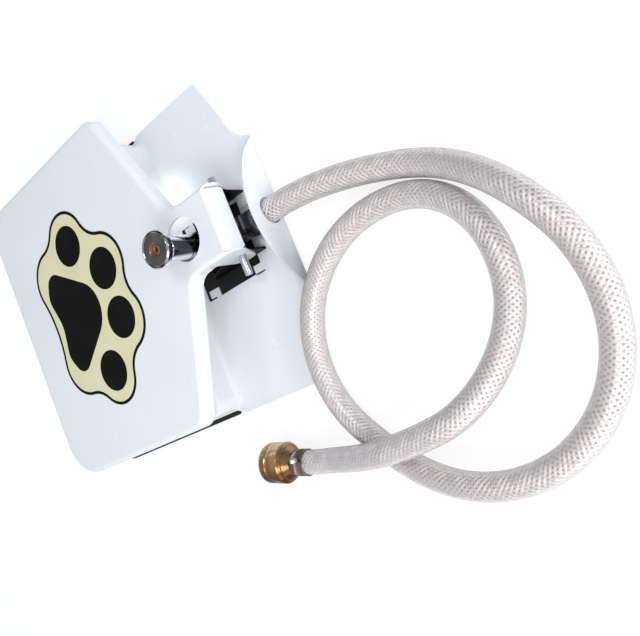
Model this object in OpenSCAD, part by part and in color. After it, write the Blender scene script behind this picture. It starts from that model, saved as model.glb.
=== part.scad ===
// Step-on dog water fountain: a pressed base with an upright, a sprung paw pedal
// hinged on a cross pin, a push valve with an upright jet nozzle, and a braided
// hose that leaves through the upright and ends in a garden-hose swivel nut.
// Units mm. Z = 0 is the ground, X is the width (left is -X), +Y is the rear, hose side.

/* [Node] */
// which node to draw

/* [Base] */
// width of the base plate
base_width = 250; // [200:1:300]
// front edge of the base plate
base_front = -143; // [-180:1:-100]
// rear edge of the base plate at its sides
base_rear = 111; // [80:1:140]
// outside plane of the upright
upright_y = 143; // [120:1:170]
// sheet thickness of base and pedal
sheet = 1.5; // [1:0.1:3]
// thickness of the rubber mat under the base
mat_thick = 2.5; // [1:0.1:6]
// radius of the upright's curved top edge
upright_r = 72; // [60:0.1:100]
// height of the upright's top above the ground
upright_top = 36.5; // [25:0.1:60]
// radius of the hose hole in the upright
hole_r = 10.1; // [9.5:0.1:14]
// height of the hose hole's centre
hole_z = 16.4; // [12:0.1:25]
// half width of the opening for the valve
open_half = 32; // [20:1:45]
// front edge of the opening
open_front = 41.4; // [36:0.1:60]
// rear edge of the opening
open_rear = 106.7; // [90:0.1:115]
// height of the raised front platform at its rear wall
platform_high = 30; // [20:1:36]
// height of the raised front platform at its front edge
platform_low = 14; // [6:1:24]

/* [Pedal] */
// width of the pedal
pedal_width = 260; // [200:1:320]
// sideways offset of the pedal along its pin
pedal_x = -6; // [-10:0.5:10]
// front edge of the pedal
pedal_front = -148.5; // [-170:0.5:-120]
// height of the pedal's top face
pedal_top = 50.2; // [40:0.1:70]
// depth of the turned-down rim
rim_depth = 12; // [6:0.5:20]
// slope of the pedal's rear edges
rear_slope = 0.424; // [0:0.01:0.6]
// radius of the front corners
pedal_r = 32; // [10:1:50]
// half width of the tongue over its two ears
tongue_half = 25.75; // [18:0.25:35]
// sideways position of the tongue's middle
tongue_x = -5.25; // [-8:0.25:2]
// radius of the hole the nozzle stands in
tongue_hole_r = 16.2; // [12:0.1:22]

/* [Hinge] */
// distance of the hinge pin along the base
pin_y = 112.4; // [100:0.1:125]
// height of the hinge pin
pin_z = 27.8; // [20:0.1:35]
// radius of the hinge pin
pin_r = 3; // [2.5:0.1:6]
// right end of the hinge pin
pin_right = 35.5; // [25:0.5:45]

/* [Nozzle and valve] */
// distance of the nozzle along the base
nozzle_y = 86; // [70:0.5:100]
// height of the nozzle's face
nozzle_top = 80; // [60:0.5:110]
// radius of the nozzle head
nozzle_r = 13.6; // [10:0.1:20]
// thickness of the nozzle head
nozzle_thick = 5.6; // [3:0.1:10]
// radius of the nozzle stem
stem_r = 9; // [6:0.1:12]
// distance of the plunger along the base
plunger_y = 63; // [55:0.5:75]
// height of the valve body's top
body_top = 30; // [24:0.5:36]

/* [Hose] */
// outside radius of the hose
hose_r = 9; // [6:0.1:12]
// inside radius of the hose
hose_bore_r = 6; // [4:0.1:9]
// height of the barb's axis inside the base
barb_z = 14.2; // [13.5:0.1:18]
// length of each arc of the laid-out hose
arc_length = 101.7; // [60:0.1:140]

/* [Coupling nut] */
// radius of the nut's large band
nut_r = 15.5; // [14:0.1:18]
// radius of the nut's thread (3/4 in garden hose)
thread_r = 13.3; // [12:0.1:15]
// length of the nut
nut_length = 25; // [18:0.5:32]

/* [Hidden] */
$fn = 72;

brass = [0.74, 0.60, 0.33];
rubber = [0.05, 0.05, 0.05];
screw_grey = [0.6, 0.6, 0.62];
clamp_grey = [0.35, 0.35, 0.37];

// ---------------------------------------------------------------- helpers
function unit(v) = v / norm(v);
function polar(radius, angle) = radius * [cos(angle), sin(angle)];
function heading(v) = atan2(v[1], v[0]);
function anticlockwise(from, to) = (to - from + 720) % 360;
// item i of a closed list
function at(list, i) = list[(i + len(list)) % len(list)];
function arc_points(centre, radius, from, to, steps = 12) =
  [for (k = [0:steps]) centre + polar(radius, from + (to - from) * k / steps)];

// the outline moved inward, corner by corner
function inset(outline, inward) = [for (i = [0:len(outline) - 1])
  let(before = unit(outline[i] - at(outline, i - 1)),
      after = unit(at(outline, i + 1) - outline[i]),
      normal_1 = [-before[1], before[0]],
      normal_2 = [-after[1], after[0]])
  outline[i] + (normal_1 + normal_2) * inward / (1 + normal_1 * normal_2)];

// is corner i convex on an anticlockwise outline
function convex(outline, i) =
  let(before = at(outline, i) - at(outline, i - 1),
      after = at(outline, i + 1) - at(outline, i))
  before[0] * after[1] - before[1] * after[0] > 0;

// arc at a corner; back and ahead are the unit directions to its neighbours
function corner_arc(corner, back, ahead, radius) =
  let(half = acos(max(-1, min(1, back * ahead))) / 2,
      centre = corner + unit(back + ahead) * radius / sin(half),
      reach = radius / tan(half),
      from = heading(corner + back * reach - centre),
      to = heading(corner + ahead * reach - centre),
      sweep = (to - from + 540) % 360 - 180)
  arc_points(centre, radius, from, from + sweep, 10);

// the outline moved inward with its corners rounded; radius 0 keeps a corner sharp
function rounded(outline, radii, inward = 0) =
  let(moved = inset(outline, inward))
  [for (i = [0:len(moved) - 1])
    each radii[i] == 0 ? [moved[i]] : corner_arc(moved[i],
      unit(at(moved, i - 1) - moved[i]), unit(at(moved, i + 1) - moved[i]),
      max(convex(outline, i) ? radii[i] - inward : radii[i] + inward, 0.3))];

// triangles of a tube's wall, between rings of points
function wall_faces(rings, sides, first = 0) = [for (i = [0:rings - 2]) for (j = [0:sides - 1])
  let(a = first + i * sides + j, b = first + i * sides + (j + 1) % sides)
  each [[a, b, a + sides], [b, b + sides, a + sides]]];
function flipped(faces) = [for (f = faces) [f[0], f[2], f[1]]];

// side profile (y, z) drawn out along X
module along_x(left, length)
  translate([left, 0, 0]) rotate([90, 0, 90]) linear_extrude(length) children();
module rod_x(place, radius, length)
  translate(place) rotate([0, 90, 0]) cylinder(r = radius, h = length);
module rod_y(place, radius, length)
  translate(place) rotate([-90, 0, 0]) cylinder(r = radius, h = length);
module flat_ring(outer, inner, height) difference() {
  cylinder(r = outer, h = height);
  translate([0, 0, -1]) cylinder(r = inner, h = height + 2);
}

// ---------------------------------------------------------------- base
plate_bottom = mat_thick + 0.02;
plate_top = mat_thick + sheet;
base_half = base_width / 2;
front_half = base_half - 4;                  // the front part is narrower
foot_half = 60.5;                            // half width of the upright's foot
scallop = [86, 147.5];                       // hollow corner beside the upright
scallop_r = 24.3;
bracket_screws = [[-22, 113.4], [12.7, 113.4]];
body_screws = [[-8, 62], [8, 94]];

function base_outline(inward = 0) = concat(
  rounded([[-base_half, base_rear], [-base_half, 33], [-front_half, 27],
      [-front_half, base_front + 1.5], [front_half, base_front + 1.5],
      [front_half, 27], [base_half, 33], [base_half, base_rear]],
    [3, 6, 6, 16, 16, 6, 6, 3], inward),
  arc_points(scallop, scallop_r + inward, 270, 195),
  [for (side = [1, -1]) [side * (foot_half - inward), upright_y - sheet / 2 - inward]],
  arc_points([-scallop[0], scallop[1]], scallop_r + inward, -15, -90));

platform_half = 119;
platform_front = -138;
platform_rear = 33;
// the block that bounds the sloping top runs past the platform, from y = -140 to y = 60
slope_end = 60;
slope_end_z = platform_high + 0.13 * (slope_end - platform_rear);
module platform_block(bottom, inward) intersection() {
  translate([0, 0, bottom]) linear_extrude(60)
    polygon(rounded([[-platform_half, platform_front], [platform_half, platform_front],
      [platform_half, platform_rear], [-platform_half, platform_rear]], [14, 14, 9, 9], inward));
  along_x(-130, 260) polygon([[-140, bottom], [slope_end, bottom],
    [slope_end, slope_end_z - inward], [-140, platform_low - inward]]);
}

// metal left standing in the opening, right side: x, y, width, depth
fingers = [
  [25.5, open_rear - 7.5, 6, 8.5],           // rear finger
  [24.5, 46.5, 6.3, 10.2],                   // front finger
  [30, 52.5, 3, 4.2],                        // joins the front finger to the side
  [31.5, open_rear - 0.01, 1.5, 2],          // end of the slit beside the rear finger
];
module opening_2d() difference() {
  translate([-open_half, open_front]) square([2 * open_half, open_rear - open_front]);
  for (side = [-1, 1]) for (f = fingers)
    translate([side > 0 ? f[0] : -f[0] - f[2], f[1]]) square([f[2], f[3]]);
}

module bracket_screw_holes() for (p = bracket_screws)
  translate([p[0], p[1], -1]) cylinder(r = 1.55, h = 10);

module upright() translate([0, upright_y - sheet, 0]) rotate([-90, 0, 0]) linear_extrude(sheet)
  difference() {                             // drawn with height along -Y
    translate([0, upright_r - upright_top]) circle(r = upright_r, $fn = 180);
    translate([-200, -plate_bottom]) square([400, 400]);
    translate([0, -hole_z]) circle(r = hole_r);
  }

module base() color([0.92, 0.94, 0.96]) {
  difference() {
    union() {
      translate([0, 0, plate_bottom]) linear_extrude(plate_top - plate_bottom)
        polygon(base_outline());
      platform_block(plate_bottom, 0);
    }
    platform_block(-1, sheet);
    translate([0, 0, -1]) linear_extrude(80) opening_2d();
    bracket_screw_holes();
  }
  upright();
}

mat_half = base_half - 0.3;
module base_mat() color([0.06, 0.06, 0.06]) linear_extrude(mat_thick) {
  polygon(base_outline(6));
  // beside the platform the mat's edge shows
  polygon(rounded([[-mat_half, 27.5], [-mat_half, base_front], [mat_half, base_front],
    [mat_half, 27.5]], [4, 18, 18, 4]));
}

// ---------------------------------------------------------------- pedal
pedal_half = pedal_width / 2;
neck_half = 28;                              // where the rear edges meet the neck
neck_y = 78.2;
corner_y = neck_y - rear_slope * (pedal_half - neck_half);
tongue_front = 95;
tongue_rear = 117;
pedal_under = pedal_top - sheet;             // underside of the top sheet
pedal_corners = [
  [pedal_x - pedal_half, pedal_front], [pedal_x + pedal_half, pedal_front],
  [pedal_x + pedal_half, corner_y], [pedal_x + neck_half, neck_y],
  [tongue_x + tongue_half, tongue_front], [tongue_x + tongue_half, tongue_rear],
  [tongue_x - tongue_half, tongue_rear], [tongue_x - tongue_half, tongue_front],
  [pedal_x - neck_half, neck_y], [pedal_x - pedal_half, corner_y]];
pedal_radii = [pedal_r, pedal_r, 14, 13, 12, 0, 0, 12, 13, 14];
// hinge ear in side view (y, z)
ear_profile = concat(
  [[93.5, pedal_top - rim_depth], [93, 38.6], [93, pedal_under + 0.01]],
  arc_points([116.8, pedal_under - 8.5], 8.5, 90, -28),
  arc_points([105.5, 19.5], 9.8, -28, -180),
  [[95.7, 34]]);
// rear flange in side view (y, z)
flange_profile = [[115, pedal_top], [117.6, pedal_top], [119.6, 49.2], [120.6, 47.4],
  [123.4, 34], [121.9, 33.7], [119.1, 46.9], [118.2, 48.2],
  [116.8, pedal_under], [115, pedal_under]];
flange_half = 23.65;                         // fits between the ears

module pedal_rim() difference() {
  translate([0, 0, pedal_top - rim_depth]) linear_extrude(rim_depth - sheet + 0.01)
    polygon(rounded(pedal_corners, pedal_radii));
  translate([0, 0, pedal_top - rim_depth - 1]) linear_extrude(rim_depth)
    polygon(rounded(pedal_corners, pedal_radii, sheet));
  // no rim round the tongue
  translate([pedal_x - 40, tongue_front, 0]) cube([80, 40, pedal_under]);
}

module pedal() color([0.93, 0.95, 0.97]) difference() {
  union() {
    translate([0, 0, pedal_under]) linear_extrude(sheet)
      polygon(rounded(pedal_corners, pedal_radii));
    pedal_rim();
    for (x = [tongue_x - tongue_half, tongue_x + tongue_half - sheet])
      along_x(x, sheet) polygon(ear_profile);
    along_x(tongue_x - flange_half, 2 * flange_half) polygon(flange_profile);
  }
  translate([pedal_x, nozzle_y, 0]) cylinder(r = tongue_hole_r, h = 100, $fn = 96);
  rod_x([-60, pin_y, pin_z], pin_r + 0.06, 120);
}

// paw decal, laid on the pedal: six round lobes, blended by hollow arcs
decal_x = -5;
border_width = 2.6;
pad_gap = 0.05;
// anticlockwise: x, y, lobe radius, radius of the hollow arc to the next lobe
lobes = [[60.5, -43, 25.5, 25], [24, -9, 27, 25], [-24, -9, 27, 25],
  [-60.5, -43, 25.5, 25], [-37.5, -77.5, 29, 100], [37.5, -77.5, 29, 25]];
toes = [[56.5, -44], [21.5, -10.5]];         // right side
toe_r = 17.3;
main_pad = [[0, -9], [-50, -84], [-27, -96], [0, -89], [27, -96], [50, -84]];
main_pad_radii = [26, 12, 16, 30, 16, 12];

function lobe_centre(i) = [at(lobes, i)[0], at(lobes, i)[1]];
// centre of the hollow arc between lobe i and the next
function hollow_centre(i) =
  let(from = lobe_centre(i), span = lobe_centre(i + 1) - from,
      dist = norm(span), dir = span / dist, hollow_r = at(lobes, i)[3],
      reach_1 = at(lobes, i)[2] + hollow_r,
      reach_2 = at(lobes, i + 1)[2] + hollow_r,
      foot = (dist * dist + reach_1 * reach_1 - reach_2 * reach_2) / (2 * dist))
  from + dir * foot + [dir[1], -dir[0]] * sqrt(reach_1 * reach_1 - foot * foot);
function paw_outline(inward) = [for (i = [0:5])
  let(lobe = lobe_centre(i), before = hollow_centre(i - 1), after = hollow_centre(i),
      from = heading(lobe - before) + 180,
      turn = anticlockwise(from, heading(after - lobe)),
      hollow_from = heading(lobe - after),
      hollow_turn = -anticlockwise(heading(lobe_centre(i + 1) - after), hollow_from))
  each concat(
    arc_points(lobe, lobes[i][2] - inward, from, from + turn, 14),
    [for (k = [1:7])
      after + polar(lobes[i][3] + inward, hollow_from + hollow_turn * k / 8)])];

module decal() translate([decal_x, 0, pedal_top + 0.01]) linear_extrude(0.2) children();
module pads(grow) {
  for (side = [-1, 1]) for (toe = toes)
    translate([side * toe[0], toe[1]]) circle(r = toe_r + grow, $fn = 96);
  polygon(rounded(main_pad, main_pad_radii, -grow));
}
module paw_border() color([0.04, 0.04, 0.04]) decal() difference() {
  polygon(paw_outline(0));
  polygon(paw_outline(border_width));
}
module paw_field() color([0.87, 0.86, 0.70]) decal() difference() {
  polygon(paw_outline(border_width + 0.05));
  pads(pad_gap);
}
module paw_pads() color([0.03, 0.03, 0.03]) decal() pads(0);

// ---------------------------------------------------------------- hinge
bracket_z = plate_bottom + 0.04;
bracket_left = -29.3;
bracket_right = 18.8;
bracket_front = 58;
bracket_rear = 98.6;
feet_z = plate_top + 0.06;                   // the bracket's feet lie on the plate
// lug that holds the pin, in side view (y, z)
lug_profile = concat(
  [[60, bracket_z], [bracket_rear, bracket_z], [bracket_rear, plate_top + 0.1], [118.2, 4.6]],
  arc_points([pin_y, pin_z], 6, -15, 150),
  [[70, 16], [60, 8]]);

module valve_bracket() color([0.45, 0.46, 0.48]) difference() {
  union() {
    translate([bracket_left, bracket_front, bracket_z])
      cube([bracket_right - bracket_left, bracket_rear - bracket_front, sheet]);
    for (x = [bracket_left, bracket_right - sheet]) along_x(x, sheet) polygon(lug_profile);
    for (foot = [[-29, 11], [9.6, 8.5]])     // left edge, width
      translate([foot[0], 108.5, feet_z]) cube([foot[1], 10, sheet]);
  }
  rod_x([-60, pin_y, pin_z], pin_r + 0.03, 120);
  bracket_screw_holes();
  for (p = body_screws) translate([p[0], p[1], 0]) {
    cylinder(r = 1.6, h = 10);
    translate([0, 0, plate_bottom]) cylinder(r1 = 2.95, r2 = 1.5, h = 1.45);
  }
}

// slotted screw through a foot of the bracket
module bracket_screw(place) color(screw_grey) translate(place) difference() {
  union() {
    translate([0, 0, plate_bottom + 0.02]) cylinder(r = 1.5, h = 3.2);
    translate([0, 0, feet_z + sheet + 0.02]) cylinder(r = 2.6, h = 1.5);
  }
  translate([-0.4, -3, plate_top + sheet + 1]) cube([0.8, 6, 2]);
}
module bracket_screw_left() bracket_screw(bracket_screws[0]);
module bracket_screw_right() bracket_screw(bracket_screws[1]);

// countersunk screw up into the valve body
module body_screw(place) color(screw_grey) translate(place) {
  translate([0, 0, plate_bottom + 0.05]) cylinder(r1 = 2.85, r2 = 1.45, h = 1.4);
  translate([0, 0, plate_bottom + 1.4]) cylinder(r = 1.45, h = 6.4);
}
module body_screw_front() body_screw(body_screws[0]);
module body_screw_rear() body_screw(body_screws[1]);

pin_left = -41.5;
groove_r = pin_r - 0.6;
grooves = [[-33.05, -31.9], [15.4, 16.6]];   // left and right edge of each clip groove
module hinge_pin() color([0.78, 0.79, 0.8])
  translate([0, pin_y, pin_z]) rotate([0, 90, 0]) rotate_extrude() polygon(concat(
    [[0, pin_left], [pin_r - 0.6, pin_left], [pin_r, pin_left + 0.6]],
    [for (g = grooves) each [[pin_r, g[0]], [groove_r, g[0]], [groove_r, g[1]], [pin_r, g[1]]]],
    [[pin_r, pin_right - 0.7], [pin_r - 0.7, pin_right], [0, pin_right]]));

module pin_clip(x) color([0.72, 0.72, 0.74])
  translate([x, pin_y, pin_z]) rotate([90, 0, 90]) linear_extrude(1) difference() {
    circle(r = 5);
    circle(r = pin_r - 0.58);
    translate([-1.8, -7]) square([3.6, 7]);
  }
module pin_clip_left() pin_clip(-32.97);
module pin_clip_inner() pin_clip(15.5);

// ---------------------------------------------------------------- valve and nozzle
body_bottom = plate_bottom + 1.6;
module valve_body() color([0.70, 0.56, 0.30]) difference() {
  union() {
    translate([-12, 56, body_bottom]) cube([24, 42, body_top - body_bottom]);
    rod_y([0, 97, barb_z], 8.5, 3);
  }
  // plunger bore, wider for the gland nut
  translate([0, plunger_y, 9]) cylinder(r = 4.3, h = 16);
  translate([0, plunger_y, 24.99]) cylinder(r = 5.5, h = 20);
  // nozzle bore, wider for the stem
  translate([0, nozzle_y, 17]) cylinder(r = 4.5, h = 20);
  translate([0, nozzle_y, 22]) cylinder(r = 7.05, h = 20);
  // lower and upper passages, and the socket for the barb
  rod_y([0, plunger_y, 13.2], 3, 26);
  rod_y([0, plunger_y, 20], 2.4, nozzle_y - plunger_y);
  rod_y([0, 90, barb_z], 4.95, 20);
  for (p = body_screws) translate([p[0], p[1], 0]) cylinder(r = 1.5, h = 12);
}

module gland_nut() color(brass) difference() {
  union() {
    translate([0, plunger_y, 25.05]) cylinder(r = 5.45, h = 6);
    translate([0, plunger_y, body_top + 0.02]) cylinder(r = 6.9, h = 3, $fn = 6);
  }
  translate([0, plunger_y, 0]) cylinder(r = 2.35, h = 60);
}

// stem and collar under a domed top
dome_r = 8.09;
module plunger() color([0.78, 0.78, 0.8]) translate([0, plunger_y, 0]) rotate_extrude()
  polygon(concat([[0, 16], [2.3, 16], [2.3, 43.2], [7, 43.2], [7, 44.4], [5.2, 45.2]],
    [for (a = [40:-8:0]) [dome_r * sin(a), 40.3 + dome_r * cos(a)]]));

module plunger_seal() color(rubber) translate([0, plunger_y, 21]) rotate_extrude()
  translate([3.28, 0]) circle(r = 0.92, $fn = 24);

// open coil between the gland nut and the plunger's collar
coil_r = 5.6;
wire_r = 0.7;
wire_sides = 10;
coil_bottom = 33.8;
coil_top = 42.45;
turn_steps = 20;
coil_steps = round(5.2 * turn_steps);        // 5.2 turns
module plunger_spring() {
  points = [for (i = [0:coil_steps]) for (j = [0:wire_sides - 1])
    let(section = polar(wire_r, 360 * j / wire_sides),
        flat = polar(coil_r + section[0], 360 * i / turn_steps),
        z = coil_bottom + (coil_top - coil_bottom) * i / coil_steps)
    [flat[0], flat[1], z + section[1]]];
  color([0.66, 0.66, 0.68]) translate([0, plunger_y, 0]) polyhedron(points, concat(
    [[for (j = [wire_sides - 1:-1:0]) j]],
    wall_faces(coil_steps + 1, wire_sides),
    [[for (j = [0:wire_sides - 1]) coil_steps * wire_sides + j]]), convexity = 10);
}

module stem_gasket() color(rubber)
  translate([0, nozzle_y, body_top + 0.01]) flat_ring(9.2, 7.05, 1.2);

stem_seat = body_top + 1.24;
head_under = nozzle_top - nozzle_thick - 0.02;
module nozzle_stem() color([0.8, 0.81, 0.83])
  translate([0, nozzle_y, 0]) rotate_extrude($fn = 96) polygon([[4.2, 22.1], [7, 22.1],
    [7, stem_seat], [stem_r, stem_seat], [stem_r, 70.6], [8.2, 71.6], [8.2, head_under],
    [6.4, head_under], [6.4, nozzle_top - 2.6], [4.2, nozzle_top - 2.6]]);

// head and insert are drawn down from the nozzle's face
module nozzle_head() color([0.62, 0.63, 0.65])
  translate([0, nozzle_y, nozzle_top]) rotate_extrude($fn = 96) polygon([
    [6.45, -nozzle_thick], [nozzle_r - 1, -nozzle_thick], [nozzle_r, 0.9 - nozzle_thick],
    [nozzle_r, -1.1], [nozzle_r - 1.1, 0], [5.6, 0], [4, -0.9], [4, -2.5], [6.45, -2.5]]);
module nozzle_insert() color([0.66, 0.5, 0.25])
  translate([0, nozzle_y, nozzle_top]) rotate_extrude() polygon([
    [1.2, -6], [3.95, -6], [3.95, -1.4], [3.2, -1.4], [1.6, -2.2], [1.2, -2.2]]);

// ---------------------------------------------------------------- inlet
module inlet_barb() color(brass)
  translate([0, 0, barb_z]) rotate([-90, 0, 0]) rotate_extrude() polygon([
    [3, 91], [4.9, 91], [4.9, 100.05], [8.2, 100.05], [8.2, 103.8], [5.4, 103.8],
    [5.9, 108], [5.3, 108], [5.9, 113], [5.3, 113], [5.9, 118], [5.3, 118],
    [5.9, 123], [5.2, 127], [3, 127]]);

// both clamps: a band with a block on top, crossed by a screw
band_length = 8;
band_r = 10.1;
block_length = 7;
block_top = 15.8;                            // above the hose axis
block_cut_r = 9.8;
clamp_screw_up = 12.9;                       // screw axis above the hose axis
clamp_hole_r = 1.9;
inner_clamp_y = 122.9;                       // middle of the inner clamp
module clamp_band() rotate_extrude($fn = 96) polygon([
  [hose_r + 0.04, 0], [band_r, 0], [band_r, band_length], [hose_r + 0.04, band_length]]);
module clamp_screw(shank_start, shank_length, head_start, head_length) {
  translate([0, 0, shank_start]) cylinder(r = 1.85, h = shank_length);
  translate([0, 0, head_start]) cylinder(r = 2.9, h = head_length, $fn = 6);
}

module inner_clamp() color(clamp_grey) {
  translate([0, inner_clamp_y - band_length / 2, barb_z]) rotate([-90, 0, 0]) clamp_band();
  difference() {
    translate([-5.5, inner_clamp_y - block_length / 2, barb_z + 6])
      cube([11, block_length, block_top - 6]);
    rod_y([0, 110, barb_z], block_cut_r, 30);
    rod_x([-20, inner_clamp_y, barb_z + clamp_screw_up], clamp_hole_r, 40);
  }
}
module inner_clamp_screw() color(screw_grey)
  translate([0, inner_clamp_y, barb_z + clamp_screw_up]) rotate([0, 90, 0])
    clamp_screw(-5.2, 12, 5.6, 2.6);

// ---------------------------------------------------------------- hose
// a straight lead through the upright, then arcs of equal length, each with its own turn
turns = [-23, -39.7, -61.1, -66.7, -45.2, -70.2, -65, -90.9, -69.6, -15.5, -6.4];
last_arc = len(turns) - 1;
last_share = 0.35;                           // the last arc is shorter
// heights of the hose's centre: arcs from the start, height, 1 = even slope to the next
heights = [[0, hole_z, 0], [1, 9.3, 0], [2, 33, 0], [3, 26, 0], [4, 26, 0], [5, 9.3, 0],
  [6, 10.3, 0], [7, 9.6, 0], [8, 24, 0], [9, 42, 1], [9.45, 36, 1], [10, 17.5, 0],
  [last_arc + last_share, 16, 0]];
lead_stations = [104.5, 111, 117.5, 124, 128.5, 132, 136, 140, 143.5];
rise_start = 128;                            // the lead rises from here to its end
lead_end = 146;
hose_sides = 24;

function clamped(u) = max(0, min(1, u));
function ease(u) = u * u * (3 - 2 * u);
function hose_z(s) =
  let(k = max([for (i = [0:len(heights) - 2]) if (heights[i][0] <= s + 1e-6) i]),
      from = heights[k], to = heights[k + 1],
      u = clamped((s - from[0]) / (to[0] - from[0])),
      share = from[2] == 1 ? u : ease(u))
  from[1] * (1 - share) + to[1] * share;
function arc_heading(i) = i == 0 ? 90 : arc_heading(i - 1) + turns[i - 1];
// offset after k of the steps along an arc
function arc_offset(angle, turn, length, k, steps) = k == 0 ? [0, 0] :
  arc_offset(angle, turn, length, k - 1, steps)
    + polar(length / steps, angle + turn * (k - 0.5) / steps);
function arc_start(i) = i == 0 ? [0, lead_end] :
  arc_start(i - 1) + arc_offset(arc_heading(i - 1), turns[i - 1], arc_length, 12, 12);

lead = [for (y = lead_stations) [0, y, barb_z + (hole_z - barb_z)
  * ease(clamped((y - rise_start) / (lead_end - rise_start)))]];
run = [for (i = [0:last_arc])
  let(last = i == last_arc, share = last ? last_share : 1, steps = last ? 4 : 10,
      start = arc_start(i), angle = arc_heading(i))
  for (k = [0:last ? steps : steps - 1])
    let(p = start + arc_offset(angle, turns[i], arc_length * share, k, steps))
    [p[0], p[1], hose_z(i + k / steps * share)]];
path = concat(lead, run);
path_last = len(path) - 1;
end_heading = arc_heading(last_arc) + turns[last_arc];

function tangent(i) = i == 0 ? [0, 1, 0] :
  i == path_last ? [cos(end_heading), sin(end_heading), 0] : unit(path[i + 1] - path[i - 1]);
function hose_ring(i, radius) =
  let(along = tangent(i), across = unit(cross(along, [0, 0, 1])), up = cross(across, along))
  [for (j = [0:hose_sides - 1]) let(p = polar(radius, 360 * j / hose_sides))
    path[i] + p[0] * across + p[1] * up];
// flat end between the outer ring that begins at point first and its inner ring
function end_faces(first, inner) = [for (j = [0:hose_sides - 1])
  let(a = first + j, b = first + (j + 1) % hose_sides)
  each [[a, inner + a, b], [b, inner + a, inner + b]]];

module hose() {
  inner = len(path) * hose_sides;            // index of the first inner point
  points = [for (radius = [hose_r, hose_bore_r]) for (i = [0:path_last])
    each hose_ring(i, radius)];
  color([0.86, 0.84, 0.84, 0.8]) polyhedron(points, concat(
    wall_faces(len(path), hose_sides),
    flipped(wall_faces(len(path), hose_sides, inner)),
    end_faces(0, inner),
    flipped(end_faces(path_last * hose_sides, inner))), convexity = 20);
}

// ---------------------------------------------------------------- coupling
// local Z starts at the hose end and runs away from it; local -X is up
module coupling() translate(path[path_last])
  rotate([0, 0, end_heading]) rotate([0, 90, 0]) children();

outer_clamp_z = -8;                          // middle of the outer clamp
module outer_clamp() color(clamp_grey) coupling() {
  translate([0, 0, outer_clamp_z - band_length / 2]) clamp_band();
  difference() {
    translate([-block_top, -4.1, outer_clamp_z - block_length / 2])
      cube([6.5, 8.2, block_length]);
    translate([0, 0, -20]) cylinder(r = block_cut_r, h = 30);
    translate([-clamp_screw_up, 0, outer_clamp_z]) rotate([90, 0, 0])
      cylinder(r = clamp_hole_r, h = 60, center = true);
  }
}
module outer_clamp_screw() color(screw_grey) coupling()
  translate([-clamp_screw_up, 0, outer_clamp_z]) rotate([90, 0, 0])
    clamp_screw(-4, 9, 4.2, 2.4);

module hose_tail() color(brass) coupling() rotate_extrude() polygon([
  [3.6, -24], [5.2, -24], [5.9, -20], [5.3, -20], [5.9, -15], [5.3, -15], [5.9, -10],
  [5.3, -10], [5.9, -5], [5.5, -0.5], [5.5, 0.2], [7.2, 0.2], [7.2, 5.2], [10.8, 5.2],
  [10.8, 7.4], [4.6, 7.4], [3.6, 6]]);

module swivel_nut() color([0.72, 0.52, 0.26]) coupling() rotate_extrude($fn = 120) polygon([
  [7.26, 0.5], [9.2, 0.5], [nut_r - 1.7, 6.4], [nut_r, 8.2], [nut_r, 16.6],
  [nut_r - 0.7, 17.2], [nut_r - 0.7, 19.6], [nut_r - 0.3, 20.2],
  [nut_r - 0.3, nut_length + 0.1], [nut_r - 0.9, nut_length + 0.5],
  [thread_r, nut_length + 0.5], [thread_r, 12], [13.6, 12], [13.6, 7.4], [11, 7.4],
  [11, 5.14], [7.26, 5.14]]);

module nut_washer() color(rubber) coupling() translate([0, 0, 7.45]) flat_ring(12.9, 5.5, 3);

base();
base_mat();
valve_bracket();
bracket_screw_left();
bracket_screw_right();
body_screw_front();
body_screw_rear();
pedal();
paw_border();
paw_field();
paw_pads();
hinge_pin();
pin_clip_left();
pin_clip_inner();
valve_body();
gland_nut();
plunger();
plunger_seal();
plunger_spring();
stem_gasket();
nozzle_stem();
nozzle_head();
nozzle_insert();
inlet_barb();
inner_clamp();
inner_clamp_screw();
hose();
outer_clamp();
outer_clamp_screw();
hose_tail();
swivel_nut();
nut_washer();
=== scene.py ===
"""Foot pedal unit: a white sheet base with a raised platform and an upright, a pedal hinged
over a valve, an upright nozzle, and a braided hose that ends in a swivel nut.

X runs across the unit, -Y is its front (platform), +Y its rear (upright and hose), and Z is up
from the floor at 0. Shapes are in mm; materials, lights and the camera are in metres.
"""
import bpy
import bmesh
import math
import numpy as np
from contextlib import contextmanager
from mathutils import Vector, Matrix
from mathutils.geometry import delaunay_2d_cdt


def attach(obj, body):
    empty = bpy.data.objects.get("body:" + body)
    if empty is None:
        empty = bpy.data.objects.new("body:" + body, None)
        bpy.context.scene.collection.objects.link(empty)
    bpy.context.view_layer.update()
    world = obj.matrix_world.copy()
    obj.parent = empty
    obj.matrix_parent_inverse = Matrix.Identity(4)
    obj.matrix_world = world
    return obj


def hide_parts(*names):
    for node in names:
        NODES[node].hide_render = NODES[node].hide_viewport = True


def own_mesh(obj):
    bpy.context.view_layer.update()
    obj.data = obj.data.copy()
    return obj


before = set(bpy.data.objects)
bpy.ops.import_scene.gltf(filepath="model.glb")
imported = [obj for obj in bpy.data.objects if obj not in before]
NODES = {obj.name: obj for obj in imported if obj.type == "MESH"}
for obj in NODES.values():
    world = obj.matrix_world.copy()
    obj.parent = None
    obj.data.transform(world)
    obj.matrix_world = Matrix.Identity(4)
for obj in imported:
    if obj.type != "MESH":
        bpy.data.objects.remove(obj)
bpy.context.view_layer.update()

MM = 0.001
UP = np.array([0, 0, 1.0])

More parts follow.
